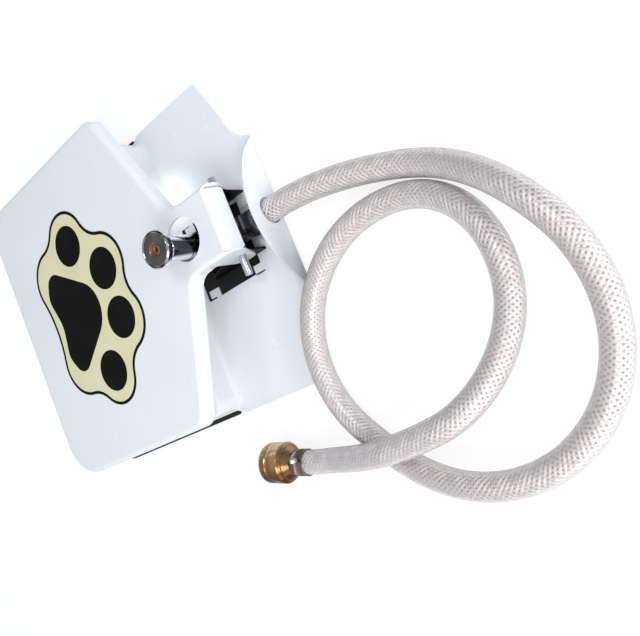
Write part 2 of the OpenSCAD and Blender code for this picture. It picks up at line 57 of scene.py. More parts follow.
SHEET = 1.5                          # pedal sheet thickness
BASE_BOTTOM, BASE_TOP = 2.52, 4.0    # plate faces
BASE_Z = (BASE_BOTTOM + BASE_TOP) / 2
HINGE_Y, HINGE_Z = 112.4, 27.8
NOZZLE_Y, NOZZLE_TOP = 86.0, 80.0
PLUNGER_Y = 63.0
HOSE_HOLE_Z = 16.4                   # hose centre where it passes the upright
BARB_Z = 14.2                        # hose centre on the inlet barb


# ------------------------------------------------------------------ mesh helpers
@contextmanager
def edit_mesh(mesh):
    bm = bmesh.new()
    bm.from_mesh(mesh)
    yield bm
    bm.to_mesh(mesh)
    bm.free()


def link_object(name, data):
    obj = bpy.data.objects.new(name, data)
    bpy.context.scene.collection.objects.link(obj)
    return obj


def new_object(name, verts, faces, material, slot, body="base", replaces=None, merge=0.0):
    """Smooth-shaded object from points in mm; points closer than merge are joined."""
    mesh = bpy.data.meshes.new(name)
    points = [tuple(float(c) * MM for c in v) for v in verts]
    mesh.from_pydata(points, [], [tuple(f) for f in faces])
    if merge:
        with edit_mesh(mesh) as bm:
            bmesh.ops.remove_doubles(bm, verts=bm.verts, dist=merge * MM)
            bmesh.ops.dissolve_degenerate(bm, edges=bm.edges, dist=1e-7)
    mesh.validate()
    mesh.update()
    for polygon in mesh.polygons:
        polygon.use_smooth = True
    obj = link_object(name, mesh)
    mesh.materials.append(material)
    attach(obj, body)
    if replaces:
        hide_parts(replaces)
    return obj


def finish_solid(obj, sharp_degrees):
    """Turns the faces outward, then marks the edges that reach the given angle as sharp."""
    with edit_mesh(obj.data) as bm:
        bmesh.ops.recalc_face_normals(bm, faces=bm.faces)
    limit = math.radians(sharp_degrees)
    with edit_mesh(obj.data) as bm:
        for edge in bm.edges:
            if len(edge.link_faces) == 2:
                edge.smooth = edge.calc_face_angle(0) < limit


class Surface:
    """Collects the points and faces of one piece."""

    def __init__(self):
        self.verts = []
        self.faces = []

    def add_grid(self, rows, closed=False, flipped=False):
        """Quads between rows of points; closed joins each row's ends."""
        start, n = len(self.verts), len(rows[0])
        for row in rows:
            self.verts += list(row)
        for i in range(len(rows) - 1):
            for j in range(n if closed else n - 1):
                a = start + i * n + j
                b = start + i * n + (j + 1) % n
                self.faces.append((a, a + n, b + n, b) if flipped else (a, b, b + n, a + n))

    def add_patch(self, verts, faces):
        start = len(self.verts)
        self.verts += verts
        self.faces += [tuple(start + k for k in face) for face in faces]


def sheet_object(name, surface, body, replaces, thickness, offset, bevel):
    """Object from an open surface, with sheet thickness and rounded edges as geometry."""
    obj = new_object(name, surface.verts, surface.faces, POWDER, "white_coat", body, replaces,
                     merge=0.02)
    # consistent faces, with the flat ones looking up
    with edit_mesh(obj.data) as bm:
        bmesh.ops.recalc_face_normals(bm, faces=bm.faces)
        if sum(f.normal.z * f.calc_area() for f in bm.faces) < 0:
            bmesh.ops.reverse_faces(bm, faces=bm.faces)

    def modify(modifier_name, kind, **settings):
        modifier = obj.modifiers.new(modifier_name, kind)
        for key, value in settings.items():
            setattr(modifier, key, value)

    modify("thick", "SOLIDIFY", thickness=thickness * MM, offset=offset, use_even_offset=True,
           use_quality_normals=True)
    modify("edge", "BEVEL", width=bevel * MM, segments=3, limit_method="ANGLE",
           angle_limit=math.radians(50), use_clamp_overlap=True, harden_normals=False)
    modify("shade", "WEIGHTED_NORMAL", keep_sharp=False)
    graph = bpy.context.evaluated_depsgraph_get()
    mesh = bpy.data.meshes.new_from_object(
        obj.evaluated_get(graph), preserve_all_data_layers=True, depsgraph=graph)
    obj.modifiers.clear()
    mesh.name = obj.data.name + "_sheet"
    obj.data = mesh
    for polygon in mesh.polygons:
        polygon.use_smooth = True


# ------------------------------------------------------------------ outlines
def sin_cos(degrees):
    return math.sin(math.radians(degrees)), math.cos(math.radians(degrees))


def arc(x, y, radius, degrees, radius_y=None):
    """Points on a circle, or an ellipse, at the given angles."""
    out = []
    for angle in degrees:
        s, c = sin_cos(angle)
        out.append((x + radius * c, y + (radius_y or radius) * s))
    return out


def circle(x, y, radius, n):
    return np.array([(x + radius * math.cos(t), y + radius * math.sin(t))
                     for t in np.linspace(0, 2 * math.pi, n + 1)[:-1]])


def corner(before, point, after):
    """Unit directions and distances to a corner's neighbours, and half the angle between."""
    to_a, to_b = before - point, after - point
    dist_a, dist_b = np.linalg.norm(to_a), np.linalg.norm(to_b)
    to_a /= dist_a
    to_b /= dist_b
    half = math.acos(max(-1, min(1, float(to_a @ to_b)))) / 2
    return to_a, to_b, dist_a, dist_b, half


def fillet(point, to_a, to_b, half, cut, radius, steps):
    """Arc that rounds a corner, starting and ending at distance cut from it."""
    centre = point + (to_a + to_b) / np.linalg.norm(to_a + to_b) * radius / math.sin(half)
    start, end = point + to_a * cut - centre, point + to_b * cut - centre
    a0, a1 = math.atan2(start[1], start[0]), math.atan2(end[1], end[0])
    sweep = (a1 - a0 + 3 * math.pi) % (2 * math.pi) - math.pi
    angles = [a0 + sweep * k / steps for k in range(steps + 1)]
    return [centre + radius * np.array([math.cos(t), math.sin(t)]) for t in angles]


def rounded_profile(stations, steps):
    """Open polyline from (r, h, corner radius); a fillet takes under half of each side."""
    out = []
    pts = np.array([s[:2] for s in stations], float)
    for i, (point, (_, _, radius)) in enumerate(zip(pts, stations)):
        if radius <= 0 or i in (0, len(pts) - 1):
            out.append(point)
            continue
        to_a, to_b, dist_a, dist_b, half = corner(pts[i - 1], point, pts[i + 1])
        if half > math.pi / 2 - 0.02:      # nearly straight
            out.append(point)
            continue
        cut = min(radius / math.tan(half), 0.49 * dist_a, 0.49 * dist_b)
        out += fillet(point, to_a, to_b, half, cut, cut * math.tan(half), steps)
    return out


def corner_loop(stations, steps):
    """Closed counter-clockwise outline from (x, y, corner radius)."""
    out = []
    pts = np.array([s[:2] for s in stations], float)
    for i, (_, _, radius) in enumerate(stations):
        if radius <= 0:
            out.append(pts[i])
            continue
        to_a, to_b, _, _, half = corner(pts[i - 1], pts[i], pts[(i + 1) % len(pts)])
        out += fillet(pts[i], to_a, to_b, half, radius / math.tan(half), radius, steps)
    return np.array(out)


def resample(loop, step, closed=True):
    """Adds points so no edge is longer than step. Keeps the corners."""
    out = []
    m = len(loop)
    for i in range(m if closed else m - 1):
        a, b = np.array(loop[i], float), np.array(loop[(i + 1) % m], float)
        k = max(1, int(math.ceil(np.linalg.norm(b - a) / step)))
        out += [a + (b - a) * j / k for j in range(k)]
    if not closed:
        out.append(np.array(loop[-1], float))
    return np.array(out)


def outward(tangents):
    """Outward normals from the unit tangents of a counter-clockwise line."""
    return np.stack([tangents[:, 1], -tangents[:, 0]], axis=1)


def line_tangents(points, first, last):
    """Unit tangents of an open line; the directions at its two ends are given."""
    out = np.zeros_like(points)
    out[1:-1] = points[2:] - points[:-2]
    out[0], out[-1] = first, last
    return out / np.linalg.norm(out, axis=1)[:, None]


def smoothstep(a, b, x):
    t = np.clip((np.asarray(x, float) - a) / (b - a), 0, 1)
    return t * t * (3 - 2 * t)


def grid_points(x0, x1, y0, y1, step):
    xs = np.arange(x0, x1 + 1e-6, step)
    ys = np.arange(y0, y1 + 1e-6, step)
    return np.stack(np.meshgrid(xs, ys), axis=-1).reshape(-1, 2)


def inside_loop(points, loop):
    """Mask of the points inside a loop, by counting crossings to their right."""
    inside = np.zeros(len(points), bool)
    for a, b in zip(loop, np.roll(loop, -1, axis=0)):
        crosses = (a[1] > points[:, 1]) != (b[1] > points[:, 1])
        with np.errstate(divide="ignore", invalid="ignore"):
            xs = (b[0] - a[0]) * (points[:, 1] - a[1]) / (b[1] - a[1]) + a[0]
        inside ^= crosses & (points[:, 0] < xs)
    return inside


def dist_to_loop(points, loop):
    best = np.full(len(points), 1e9)
    for a, b in zip(loop, np.roll(loop, -1, axis=0)):
        d = b - a
        t = np.clip(((points - a) @ d) / max(float(d @ d), 1e-12), 0, 1)
        best = np.minimum(best, np.linalg.norm(points - a - t[:, None] * d, axis=1))
    return best


def keep_clear(points, outline, margin, holes=()):
    """Points inside an outline by a margin and clear of its (loop, margin) holes."""
    keep = inside_loop(points, outline) & (dist_to_loop(points, outline) > margin)
    for hole, gap in holes:
        keep &= ~inside_loop(points, hole) & (dist_to_loop(points, hole) > gap)
    return points[keep]


def triangulate(outline, holes, inner):
    """Triangles between an outline and its holes, using free inner points as well."""
    pts, edges = [], []
    for loop in [outline, *holes]:
        start, m = len(pts), len(loop)
        pts += [tuple(p) for p in loop]
        edges += [(start + i, start + (i + 1) % m) for i in range(m)]
    pts += [tuple(p) for p in inner]
    verts, _, faces, _, _, _ = delaunay_2d_cdt([Vector(p) for p in pts], edges, [], 0, 1e-6, True)
    verts = np.array([(p.x, p.y) for p in verts])
    centres = np.array([verts[list(face)].mean(axis=0) for face in faces])
    keep = inside_loop(centres, outline)
    for hole in holes:
        keep &= ~inside_loop(centres, hole)
    return verts, [tuple(face) for face, kept in zip(faces, keep) if kept]


# ------------------------------------------------------------------ turned parts
def axis_frame(origin, direction):
    """Origin, two cross directions and the unit axis."""
    axis = np.array(direction, float)
    axis /= np.linalg.norm(axis)
    up = UP if abs(axis[2]) < 0.9 else np.array([1.0, 0, 0])
    side = np.cross(up, axis)
    side /= np.linalg.norm(side)
    return np.array(origin, float), side, np.cross(axis, side), axis


def turned(name, stations, origin, direction, sides, steps, sharp, **kw):
    """Closed turned solid from (r, h, corner radius); a point with r 0 closes on the axis."""
    origin, side, up, axis = axis_frame(origin, direction)
    verts, faces, rings = [], [], []
    for r, h in rounded_profile(stations, steps):
        start = len(verts)
        if r < 1e-6:
            verts.append(origin + axis * h)
        else:
            for k in range(sides):
                t = 2 * math.pi * k / sides
                verts.append(origin + axis * h + side * r * math.cos(t) + up * r * math.sin(t))
        rings.append(range(start, len(verts)))
    for p, q in zip(rings, rings[1:] + rings[:1]):
        if len(p) == 1 and len(q) == 1:
            continue
        for k in range(sides):
            k2 = (k + 1) % sides
            if len(p) == 1:
                faces.append((p[0], q[k2], q[k]))
            elif len(q) == 1:
                faces.append((p[k], p[k2], q[0]))
            else:
                faces.append((p[k], p[k2], q[k2], q[k]))
    obj = new_object(name, verts, faces, **kw)
    finish_solid(obj, sharp)
    return obj


# ------------------------------------------------------------------ material helpers
class Nodes:
    """Short calls that build one node tree. An input may be a value or another socket."""

    def __init__(self, tree):
        self.tree = tree

    def plug(self, value, socket):
        if isinstance(value, bpy.types.NodeSocket):
            self.tree.links.new(value, socket)
        elif socket.type == "RGBA":
            socket.default_value = (*value, 1)
        else:
            socket.default_value = value

    def add(self, kind, inputs=None, **settings):
        node = self.tree.nodes.new("ShaderNode" + kind)
        for key, value in settings.items():
            setattr(node, key, value)
        for key, value in (inputs or {}).items():
            self.plug(value, node.inputs[key])
        return node

    def object_point(self):
        return self.add("TexCoord").outputs["Object"]

    def coords(self, scale=(1, 1, 1)):
        inputs = {"Vector": self.object_point(), "Scale": scale}
        return self.add("Mapping", inputs).outputs["Vector"]

    def xyz(self, vector):
        return self.add("SeparateXYZ", {0: vector}).outputs

    def dot(self, vector, direction):
        inputs = {0: vector, 1: direction}
        return self.add("VectorMath", inputs, operation="DOT_PRODUCT").outputs["Value"]

    def calc(self, operation, *values):
        return self.add("Math", dict(enumerate(values)), operation=operation).outputs[0]

    def noise(self, vector, scale, detail, rough=0.5, distortion=0.0):
        return self.add("TexNoise", {
            "Scale": scale, "Detail": detail, "Roughness": rough, "Distortion": distortion,
            "Vector": vector}).outputs["Fac"]

    def remap(self, value, from_min, from_max, to_min, to_max):
        return self.add("MapRange", {
            "From Min": from_min, "From Max": from_max, "To Min": to_min, "To Max": to_max,
            "Value": value}).outputs["Result"]

    def ramp(self, value, stops):
        """Colour ramp from (position, colour) stops."""
        node = self.add("ValToRGB", {"Fac": value})
        elements = node.color_ramp.elements
        while len(elements) < len(stops):
            elements.new(0.5)
        for element, (position, colour) in zip(elements, stops):
            element.position = position
            element.color = (*colour, 1)
        return node.outputs["Color"]

    def noise_range(self, vector, scale, detail, low, high, span=(0.3, 0.7), **kw):
        """Noise whose values over span run from low to high."""
        return self.remap(self.noise(vector, scale, detail, **kw), *span, low, high)

    def mottle(self, vector, scale, detail, low, high, span=(0.3, 0.7)):
        """Noise that blends two colours over span."""
        return self.ramp(self.noise(vector, scale, detail), list(zip(span, (low, high))))

    def bump(self, height, strength, distance, normal=None):
        inputs = {"Strength": strength, "Distance": distance, "Height": height}
        if normal is not None:
            inputs["Normal"] = normal
        return self.add("Bump", inputs).outputs["Normal"]

    def grain(self, vector, scale, detail, strength, distance, normal=None, **kw):
        """Bump made from noise."""
        return self.bump(self.noise(vector, scale, detail, **kw), strength, distance, normal)

    def mix(self, factor, a, b, blend_type="MIX"):
        inputs = {"Factor": factor, "A": a, "B": b}
        node = self.add("Mix", inputs, data_type="RGBA", blend_type=blend_type)
        return node.outputs["Result"]

    def mix_shader(self, factor, a, b):
        return self.add("MixShader", {0: factor, 1: a, 2: b}).outputs[0]

    def surface(self, shader):
        self.plug(shader, self.output.inputs["Surface"])
        return self.material

    def principled(self, **inputs):
        inputs = {key.replace("_", " "): value for key, value in inputs.items()}
        return self.surface(self.add("BsdfPrincipled", inputs).outputs[0])


def new_material(name):
    material = bpy.data.materials.new(name)
    material.use_nodes = True
    material.node_tree.nodes.clear()
    nodes = Nodes(material.node_tree)
    nodes.material = material
    nodes.output = nodes.add("OutputMaterial")
    return nodes


# ------------------------------------------------------------------ materials
def powder_coat():
    nodes = new_material("white_powder_coat")
    point = nodes.coords()
    colour = nodes.mottle(point, 9.0, 3, (0.80, 0.835, 0.875), (0.855, 0.88, 0.915))
    x, y, z = nodes.xyz(nodes.object_point())
    # the upright's foot is shaded round x 0.04, low down and at the rear
    off_centre = nodes.calc("ABSOLUTE", nodes.calc("ADD", x, -0.040))
    across = nodes.remap(off_centre, 0.004, 0.048, 1.0, 0.0)
    rear = nodes.remap(y, 0.130, 0.139, 0.0, 1.0)
    low = nodes.remap(z, 0.020, 0.046, 1.0, 0.0)
    shade = nodes.calc("MULTIPLY", nodes.calc("MULTIPLY", across, rear), low)
    colour = nodes.mix(nodes.calc("MULTIPLY", shade, 0.75), colour, (0.40, 0.425, 0.45))
    rough = nodes.noise_range(point, 60.0, 4, low=0.20, high=0.28)
    peel = nodes.noise(point, scale=520.0, detail=2, rough=0.45)
    fine = nodes.noise(point, scale=2600.0, detail=2)
    normal = nodes.bump(peel, strength=0.05, distance=0.00045)
    normal = nodes.bump(fine, strength=0.05, distance=0.00012, normal=normal)
    return nodes.principled(Base_Color=colour, Roughness=rough, Normal=normal, Coat_Weight=0.35,
                            Coat_Roughness=0.10, Specular_IOR_Level=0.5)


def rubber():
    nodes = new_material("black_rubber")
    point = nodes.coords()
    colour = nodes.mottle(point, 70, 4, (0.003, 0.003, 0.0033), (0.007, 0.007, 0.0075),
                          span=(0.2, 0.8))
    normal = nodes.grain(point, 900, 3, strength=0.35, distance=0.0004)
    return nodes.principled(Base_Color=colour, Roughness=0.72, Normal=normal)


def steel(name, low, high, rough, streak=(900, 40, 900), relief=0.12):
    """Steel with fine lines stretched by the streak scales; rough is its (min, max)."""
    nodes = new_material(name)
    point = nodes.coords()
    streaked = nodes.coords(streak)
    colour = nodes.mottle(point, 35, 4, low, high, span=(0.25, 0.75))
    lines = nodes.noise(streaked, scale=1.0, detail=4, rough=0.6)
    roughness = nodes.remap(lines, 0.3, 0.7, *rough)
    normal = nodes.bump(lines, relief, distance=0.00006)
    return nodes.principled(Base_Color=colour, Metallic=1.0, Roughness=roughness, Normal=normal)


def turned_face():
    """Nozzle face with fine rings about its vertical axis."""
    nodes = new_material("turned_steel")
    point = nodes.object_point()
    inputs = {0: point, 1: (0, NOZZLE_Y * MM, 0)}
    x, y, _ = nodes.xyz(nodes.add("VectorMath", inputs, operation="SUBTRACT").outputs[0])
    squares = nodes.calc("MULTIPLY", x, x), nodes.calc("MULTIPLY", y, y)
    radius = nodes.calc("SQRT", nodes.calc("ADD", *squares))
    # many cycles outward and few round the axis
    across = nodes.calc("MULTIPLY", radius, 2600.0)
    around = nodes.calc("MULTIPLY", nodes.calc("ARCTAN2", y, x), 0.6)
    polar = nodes.add("CombineXYZ", {0: across, 1: around}).outputs[0]
    rings = nodes.noise(polar, scale=1.0, detail=3, rough=0.55)
    colour = nodes.mottle(point, 120, 4, (0.115, 0.105, 0.094), (0.19, 0.176, 0.16),
                          span=(0.25, 0.75))
    rough = nodes.remap(rings, 0.3, 0.7, 0.24, 0.42)
    normal = nodes.bump(rings, strength=0.25, distance=0.00008)
    return nodes.principled(Base_Color=colour, Metallic=1.0, Roughness=rough, Normal=normal,
                            Anisotropic=0.3)


def brass(name, low, middle, high, rough=(0.16, 0.34)):
    nodes = new_material(name)
    point = nodes.coords()
    blotches = nodes.noise(point, scale=55, detail=5, rough=0.6, distortion=0.6)
    colour = nodes.ramp(blotches, [(0.25, low), (0.5, middle), (0.78, high)])
    roughness = nodes.noise_range(point, 420, 5, *rough, span=(0.3, 0.75), rough=0.7)
    normal = nodes.grain(point, 160, 3, strength=0.10, distance=0.0005)
    normal = nodes.grain(point, 1500, 3, strength=0.08, distance=0.0001, normal=normal)
    return nodes.principled(Base_Color=colour, Metallic=1.0, Roughness=roughness, Normal=normal)


# painted light and shade: tint by how far a face looks toward the nut's shaded flank
NUT_PAINTED_FLANK_SHADE = [
    (0.06, (0.62, 0.49, 0.34)), (0.28, (0.50, 0.345, 0.195)), (0.55, (0.36, 0.225, 0.118)),
    (0.78, (0.125, 0.062, 0.032)), (0.95, (0.045, 0.022, 0.012)),
]
# painted highlight bands: multiplier along the nut's length, from its hose end
NUT_PAINTED_HIGHLIGHT_BANDS = [
    (0.0, (0.60, 0.49, 0.40)), (0.28, (0.72, 0.60, 0.48)), (0.36, (1.35, 1.2, 1.05)),
    (0.52, (1.25, 1.12, 0.95)), (0.64, (0.8, 0.66, 0.5)), (0.72, (1.5, 1.4, 1.25)),
    (0.78, (0.75, 0.62, 0.5)), (0.92, (0.95, 0.9, 0.8)), (1.0, (1.3, 1.2, 1.1)),
]


def nut_brass():
    """Worn brown brass with painted light and shade: a painted highlight on one flank, painted
    shade nearly black on the other, and painted highlight bands along its axis.
    """
    nodes = new_material("nut_brass")
    point = nodes.coords()
    facing = nodes.dot(nodes.add("NewGeometry").outputs["Normal"], (0.92, -0.36, 0.10))
    blotch = nodes.noise_range(point, 70, 4, low=-0.16, high=0.16, rough=0.55, distortion=0.4)
    facing = nodes.calc("ADD", facing, blotch)
    # painted light and shade by facing direction
    flank = nodes.ramp(nodes.remap(facing, -1.0, 1.0, 0.0, 1.0), NUT_PAINTED_FLANK_SHADE)
    # metres from the hose end, along the nut's axis
    along = nodes.calc("ADD", nodes.dot(point, (-0.23005, -0.97318, 0.0)), 0.11473)
    waves = nodes.noise(nodes.coords(), scale=260, detail=3)
    # painted highlight bands along the nut's axis
    band = nodes.ramp(nodes.remap(along, 0.0, 0.026, 0.0, 1.0), NUT_PAINTED_HIGHLIGHT_BANDS)
    colour = nodes.mix(1.0, flank, band, "MULTIPLY")
    rough = nodes.noise_range(point, 420, 5, low=0.14, high=0.34, span=(0.3, 0.75), rough=0.7)
    normal = nodes.bump(waves, strength=0.14, distance=0.0006)
    normal = nodes.grain(point, 1500, 3, strength=0.08, distance=0.0001, normal=normal)
    return nodes.principled(Base_Color=colour, Metallic=1.0, Roughness=rough, Normal=normal)


def film(name, low, high, rough, specular=0.4, coat=0.15):
    nodes = new_material(name)
    point = nodes.coords()
    colour = nodes.mottle(point, 45, 4, low, high)
    normal = nodes.grain(point, 1200, 3, strength=0.10, distance=0.00012)
    normal = nodes.grain(point, 60, 2, strength=0.06, distance=0.0006, normal=normal)
    roughness = nodes.noise_range(point, 90, 3, low=rough - 0.05, high=rough + 0.07)
    return nodes.principled(Base_Color=colour, Roughness=roughness, Normal=normal,
                            Coat_Weight=coat, Coat_Roughness=0.25, Specular_IOR_Level=specular)


# painted reflection: colour from straight on (0) to grazing (1), with a dark band between
CHROME_PAINTED_REFLECTION = [
    (0.0, (0.66, 0.67, 0.69)), (0.16, (0.55, 0.56, 0.58)), (0.25, (0.06, 0.06, 0.068)),
    (0.365, (0.05, 0.05, 0.058)), (0.42, (0.50, 0.52, 0.55)), (0.49, (0.94, 0.95, 0.96)),
    (0.92, (0.78, 0.79, 0.81)),
]


def chrome():
    nodes = new_material("chrome")
    point = nodes.coords()
    facing = nodes.add("LayerWeight", {"Blend": 0.5}).outputs["Facing"]
    # painted reflection bands in the base colour, set by how square a face is to the view
    painted_reflection = nodes.ramp(facing, CHROME_PAINTED_REFLECTION)
    tint = nodes.mottle(point, 90, 4, (0.88, 0.88, 0.90), (1.0, 1.0, 1.0))
    _, _, z = nodes.xyz(nodes.object_point())
    # painted shade: nearly black below the pedal's top, where the stem sits in the hole's shadow
    tint = nodes.mix(nodes.remap(z, 0.0480, 0.0505, 1.0, 0.0), tint, (0.03, 0.03, 0.034))
    colour = nodes.mix(1.0, painted_reflection, tint, "MULTIPLY")
    rough = nodes.noise_range(point, 700, 4, low=0.05, high=0.12, span=(0.35, 0.7))
    normal = nodes.grain(point, 300, 3, strength=0.05, distance=0.0002)
    return nodes.principled(Base_Color=colour, Metallic=1.0, Roughness=rough, Normal=normal)


def clear_pvc():
    """Clear hose wall: see-through, with a soft glint and a faint milky body at its edges."""
    nodes = new_material("clear_pvc")
    point = nodes.coords()
    clear = nodes.add("BsdfTransparent", {"Color": (0.985, 0.97, 0.97)}).outputs[0]
    normal = nodes.grain(point, 420, 3, strength=0.5, distance=0.0006)
    gloss = nodes.add("BsdfGlossy", {"Roughness": 0.16, "Color": (1, 1, 1), "Normal": normal})
    fresnel = nodes.add("Fresnel", {"IOR": 1.45, "Normal": normal}).outputs[0]
    glint = nodes.calc("MINIMUM", nodes.calc("MULTIPLY", fresnel, 1.0), 0.22)
    wall = nodes.mix_shader(glint, clear, gloss.outputs[0])
    milky = nodes.add("BsdfDiffuse", {"Color": (0.66, 0.60, 0.60)}).outputs[0]
    facing = nodes.add("LayerWeight", {"Blend": 0.35}).outputs["Facing"]
    edge = nodes.calc("MULTIPLY", nodes.calc("POWER", facing, 2.0), 0.38)
    milk = nodes.calc("ADD", edge, nodes.noise_range(point, 30, 3, low=0.02, high=0.07))
    return nodes.surface(nodes.mix_shader(milk, wall, milky))


def inlet_shade_mask(nodes, y0, y1):
    """Mask for painted shade: 1 on the hose's first stretch, fading out between y0 and y1 (m) near
    X = 0.
    """
    x, y, _ = nodes.xyz(nodes.object_point())
    along = nodes.remap(y, y0, y1, 1.0, 0.0)
    across = nodes.remap(nodes.calc("ABSOLUTE", x), 0.020, 0.030, 1.0, 0.0)
    return nodes.calc("MULTIPLY", along, across)


def hose_liner():
    """Inner tube of the hose: cloudy grey, with painted shade, nearly black, over the barb and
    through the upright.
    """
    nodes = new_material("hose_liner")
    point = nodes.coords()
    colour = nodes.mottle(point, 26, 4, (0.47, 0.435, 0.42), (0.57, 0.535, 0.52))
    dark = nodes.mottle(point, 240, 3, (0.008, 0.007, 0.007), (0.035, 0.018, 0.013),
                        span=(0.35, 0.75))
    # painted shade over the barb and through the upright
    colour = nodes.mix(inlet_shade_mask(nodes, 0.150, 0.160), colour, dark)
    normal = nodes.grain(point, 500, 3, strength=0.12, distance=0.0003)
    return nodes.principled(Base_Color=colour, Roughness=0.35, Normal=normal,
                            Specular_IOR_Level=0.5)


def hose_yarn():
    """Bright yarn with a painted highlight that follows the mesh's glint attribute, and painted
    shade on its first stretch.
    """
    nodes = new_material("hose_yarn")
    point = nodes.coords()
    glint = nodes.add("Attribute", attribute_name="glint").outputs["Fac"]
    glint = nodes.calc("ADD", glint, nodes.noise_range(point, 120, 4, low=-0.06, high=0.06))
    colour = nodes.ramp(glint, [(0.05, (0.74, 0.715, 0.70)), (0.5, (0.92, 0.905, 0.895)),
                                (0.9, (1.0, 0.995, 0.985))])
    # painted shade: the yarn goes nearly black over the barb and through the upright
    colour = nodes.mix(inlet_shade_mask(nodes, 0.1395, 0.1415), colour, (0.035, 0.028, 0.027))
    normal = nodes.grain(nodes.coords(), 2600, 2, strength=0.3, distance=0.0001)
    return nodes.principled(Base_Color=colour, Roughness=0.26, Normal=normal, Sheen_Weight=0.1,
                            Specular_IOR_Level=0.9)


POWDER = powder_coat()
RUBBER = rubber()
CHROME = chrome()
DARK = steel("dark_steel", (0.05, 0.05, 0.055), (0.11, 0.11, 0.12), rough=(0.30, 0.5))
CLAMP = steel("clamp_steel", (0.13, 0.095, 0.08), (0.25, 0.19, 0.16), rough=(0.28, 0.48))
BLACKED = steel("black_oxide_steel", (0.010, 0.010, 0.012), (0.022, 0.022, 0.026),
                rough=(0.40, 0.6))
ZINC = steel("zinc_steel", (0.45, 0.45, 0.46), (0.6, 0.6, 0.61), rough=(0.25, 0.42))
PIN = steel("pin_steel", (0.50, 0.50, 0.52), (0.62, 0.62, 0.64), rough=(0.22, 0.32),
            streak=(40, 500, 500), relief=0.03)
HEAD = turned_face()
BRASS = brass("valve_brass", (0.42, 0.30, 0.13), (0.58, 0.43, 0.2), (0.68, 0.52, 0.26))
NUT = nut_brass()
INSERT = brass("insert_brass", (0.16, 0.055, 0.032), (0.26, 0.10, 0.06), (0.42, 0.22, 0.15),
               rough=(0.25, 0.45))
BLACK = film("ink_black", (0.0035, 0.0035, 0.0035), (0.008, 0.008, 0.0075), rough=0.6,
             specular=0.06, coat=0.0)
CREAM = film("ink_cream", (0.72, 0.69, 0.43), (0.78, 0.755, 0.49), rough=0.40)
PVC = clear_pvc()
LINER = hose_liner()
YARN = hose_yarn()

# ------------------------------------------------------------------ base
BEND_Y = 139.75          # where the plate starts to turn up into the upright
BEND_RADIUS = 2.5
BEND_STEPS = 48          # points across the bend
UPRIGHT_RADIUS, UPRIGHT_Z = 71.9, -35.5    # the wall's round top and its centre
PLATE_SCREWS = ((-22.0, 113.4), (12.7, 113.4))

# right edge (+X) of the opening with its fingers, (x, y) from front to rear
OPENING_SIDE = [
    (24.5, 41.4), (31.9, 41.4), (31.9, 52.3), (30.7, 52.3), (30.7, 46.6), (24.6, 46.6),
    (24.6, 56.7), (31.9, 56.7), (31.9, 98.8), (33.0, 98.8), (33.0, 108.6), (31.7, 108.6),
    (31.7, 99.3), (25.6, 99.3), (25.6, 106.7), (24.0, 106.7),
]


def base_outline():
    """Plate outline, counter-clockwise, and the half width of its bend line."""
    half = 125.0
    front = half - 4.0       # narrower along the platform, where the mat's black edge shows
    sides = corner_loop([
        (-half, 111.0, 3), (-half, 33, 6), (-front, 27, 6), (-front, -141.5, 16),
        (front, -141.5, 16), (front, 27, 6), (half, 33, 6), (half, 111.0, 3)], 8)
    # a scallop in each rear corner ends at the bend line
    x, y, radius = 86.0, 147.5, 24.3
    end = 180 + math.degrees(math.asin((y - BEND_Y) / radius))
    right = np.array(arc(x, y, radius, np.linspace(270, end, 16)))
    left = right[::-1] * np.array([-1, 1])
    bend_half = right[-1][0]
    bend = np.array([[bend_half * (1 - 2 * k / BEND_STEPS), BEND_Y]
                     for k in range(1, BEND_STEPS)])
    return resample(np.concatenate([sides, right, bend, left]), 5.0), bend_half


def platform_z(y):
    """Mid-sheet height of the platform's sloping top."""
    return 14.0 + (y + 140.0) * (33.5 - 14.0) / 200.0 - SHEET / 2


def add_platform(surface):
    """Raised platform; returns the outline of its foot on the plate."""
    loop = resample(corner_loop(
        [(-119, -138, 14), (119, -138, 14), (119, 33, 10), (-119, 33, 10)], 12), 4.0)
    tangents = np.roll(loop, -1, axis=0) - np.roll(loop, 1, axis=0)
    normals = outward(tangents / np.linalg.norm(tangents, axis=1)[:, None])
    foot_radius = 1.4 + 6.2 * np.clip(normals[:, 1], 0, 1) ** 1.5     # wider at the rear
    edge_radius = 6.0
    rings = []
    for angle in np.linspace(0, 90, 9):
        s, c = sin_cos(angle)
        ring = loop + normals * (foot_radius * (1 - s))[:, None]
        rings.append(np.column_stack([ring, BASE_Z + foot_radius * (1 - c)]))
    middle = (BASE_Z + foot_radius) * 0.5 + (platform_z(loop[:, 1]) - edge_radius) * 0.5
    rings.append(np.column_stack([loop, middle]))
    for angle in np.linspace(0, 90, 8):
        s, c = sin_cos(angle)
        ring = loop - normals * (edge_radius * (1 - c))
        # the top slopes, so its height is taken where the ring ends up
        rings.append(np.column_stack([ring, platform_z(ring[:, 1]) - edge_radius * (1 - s)]))
    surface.add_grid(rings, closed=True)
    top = rings[-1][:, :2]
    inner = keep_clear(grid_points(-100, 100, -120, 20, 20.0), top, 4)
    verts, faces = triangulate(top, [], inner)
    surface.add_patch([(x, y, platform_z(y)) for x, y in verts], faces)
    return rings[0][:, :2]


def plate_z(x, y):
    """Mid-sheet height of the plate, raised round the opening."""
    off = np.abs(x)
    lift = 0.75 * np.clip((48.0 - off) / 10.0, 0, 1) * smoothstep(60, 74, y)
    lift = lift * smoothstep(127, 112, y)
    lift *= np.where(y > 104, smoothstep(29, 33.5, off), 1.0)
    z = BASE_Z + lift
    # both front fingers, and the rear one at +X, are sprung up toward their free ends
    front = (off > 24) & (off < 31.2) & (y > 46) & (y < 57)
    z = np.where(front, BASE_Z + 0.13 * np.clip(57 - y, 0, 11), z)
    rear = (x > 25) & (off < 31.75) & (y > 99) & (y < 108.7)
    return np.where(rear, BASE_Z + 0.12 * np.clip(108.7 - y, 0, 10) + 0.2, z)


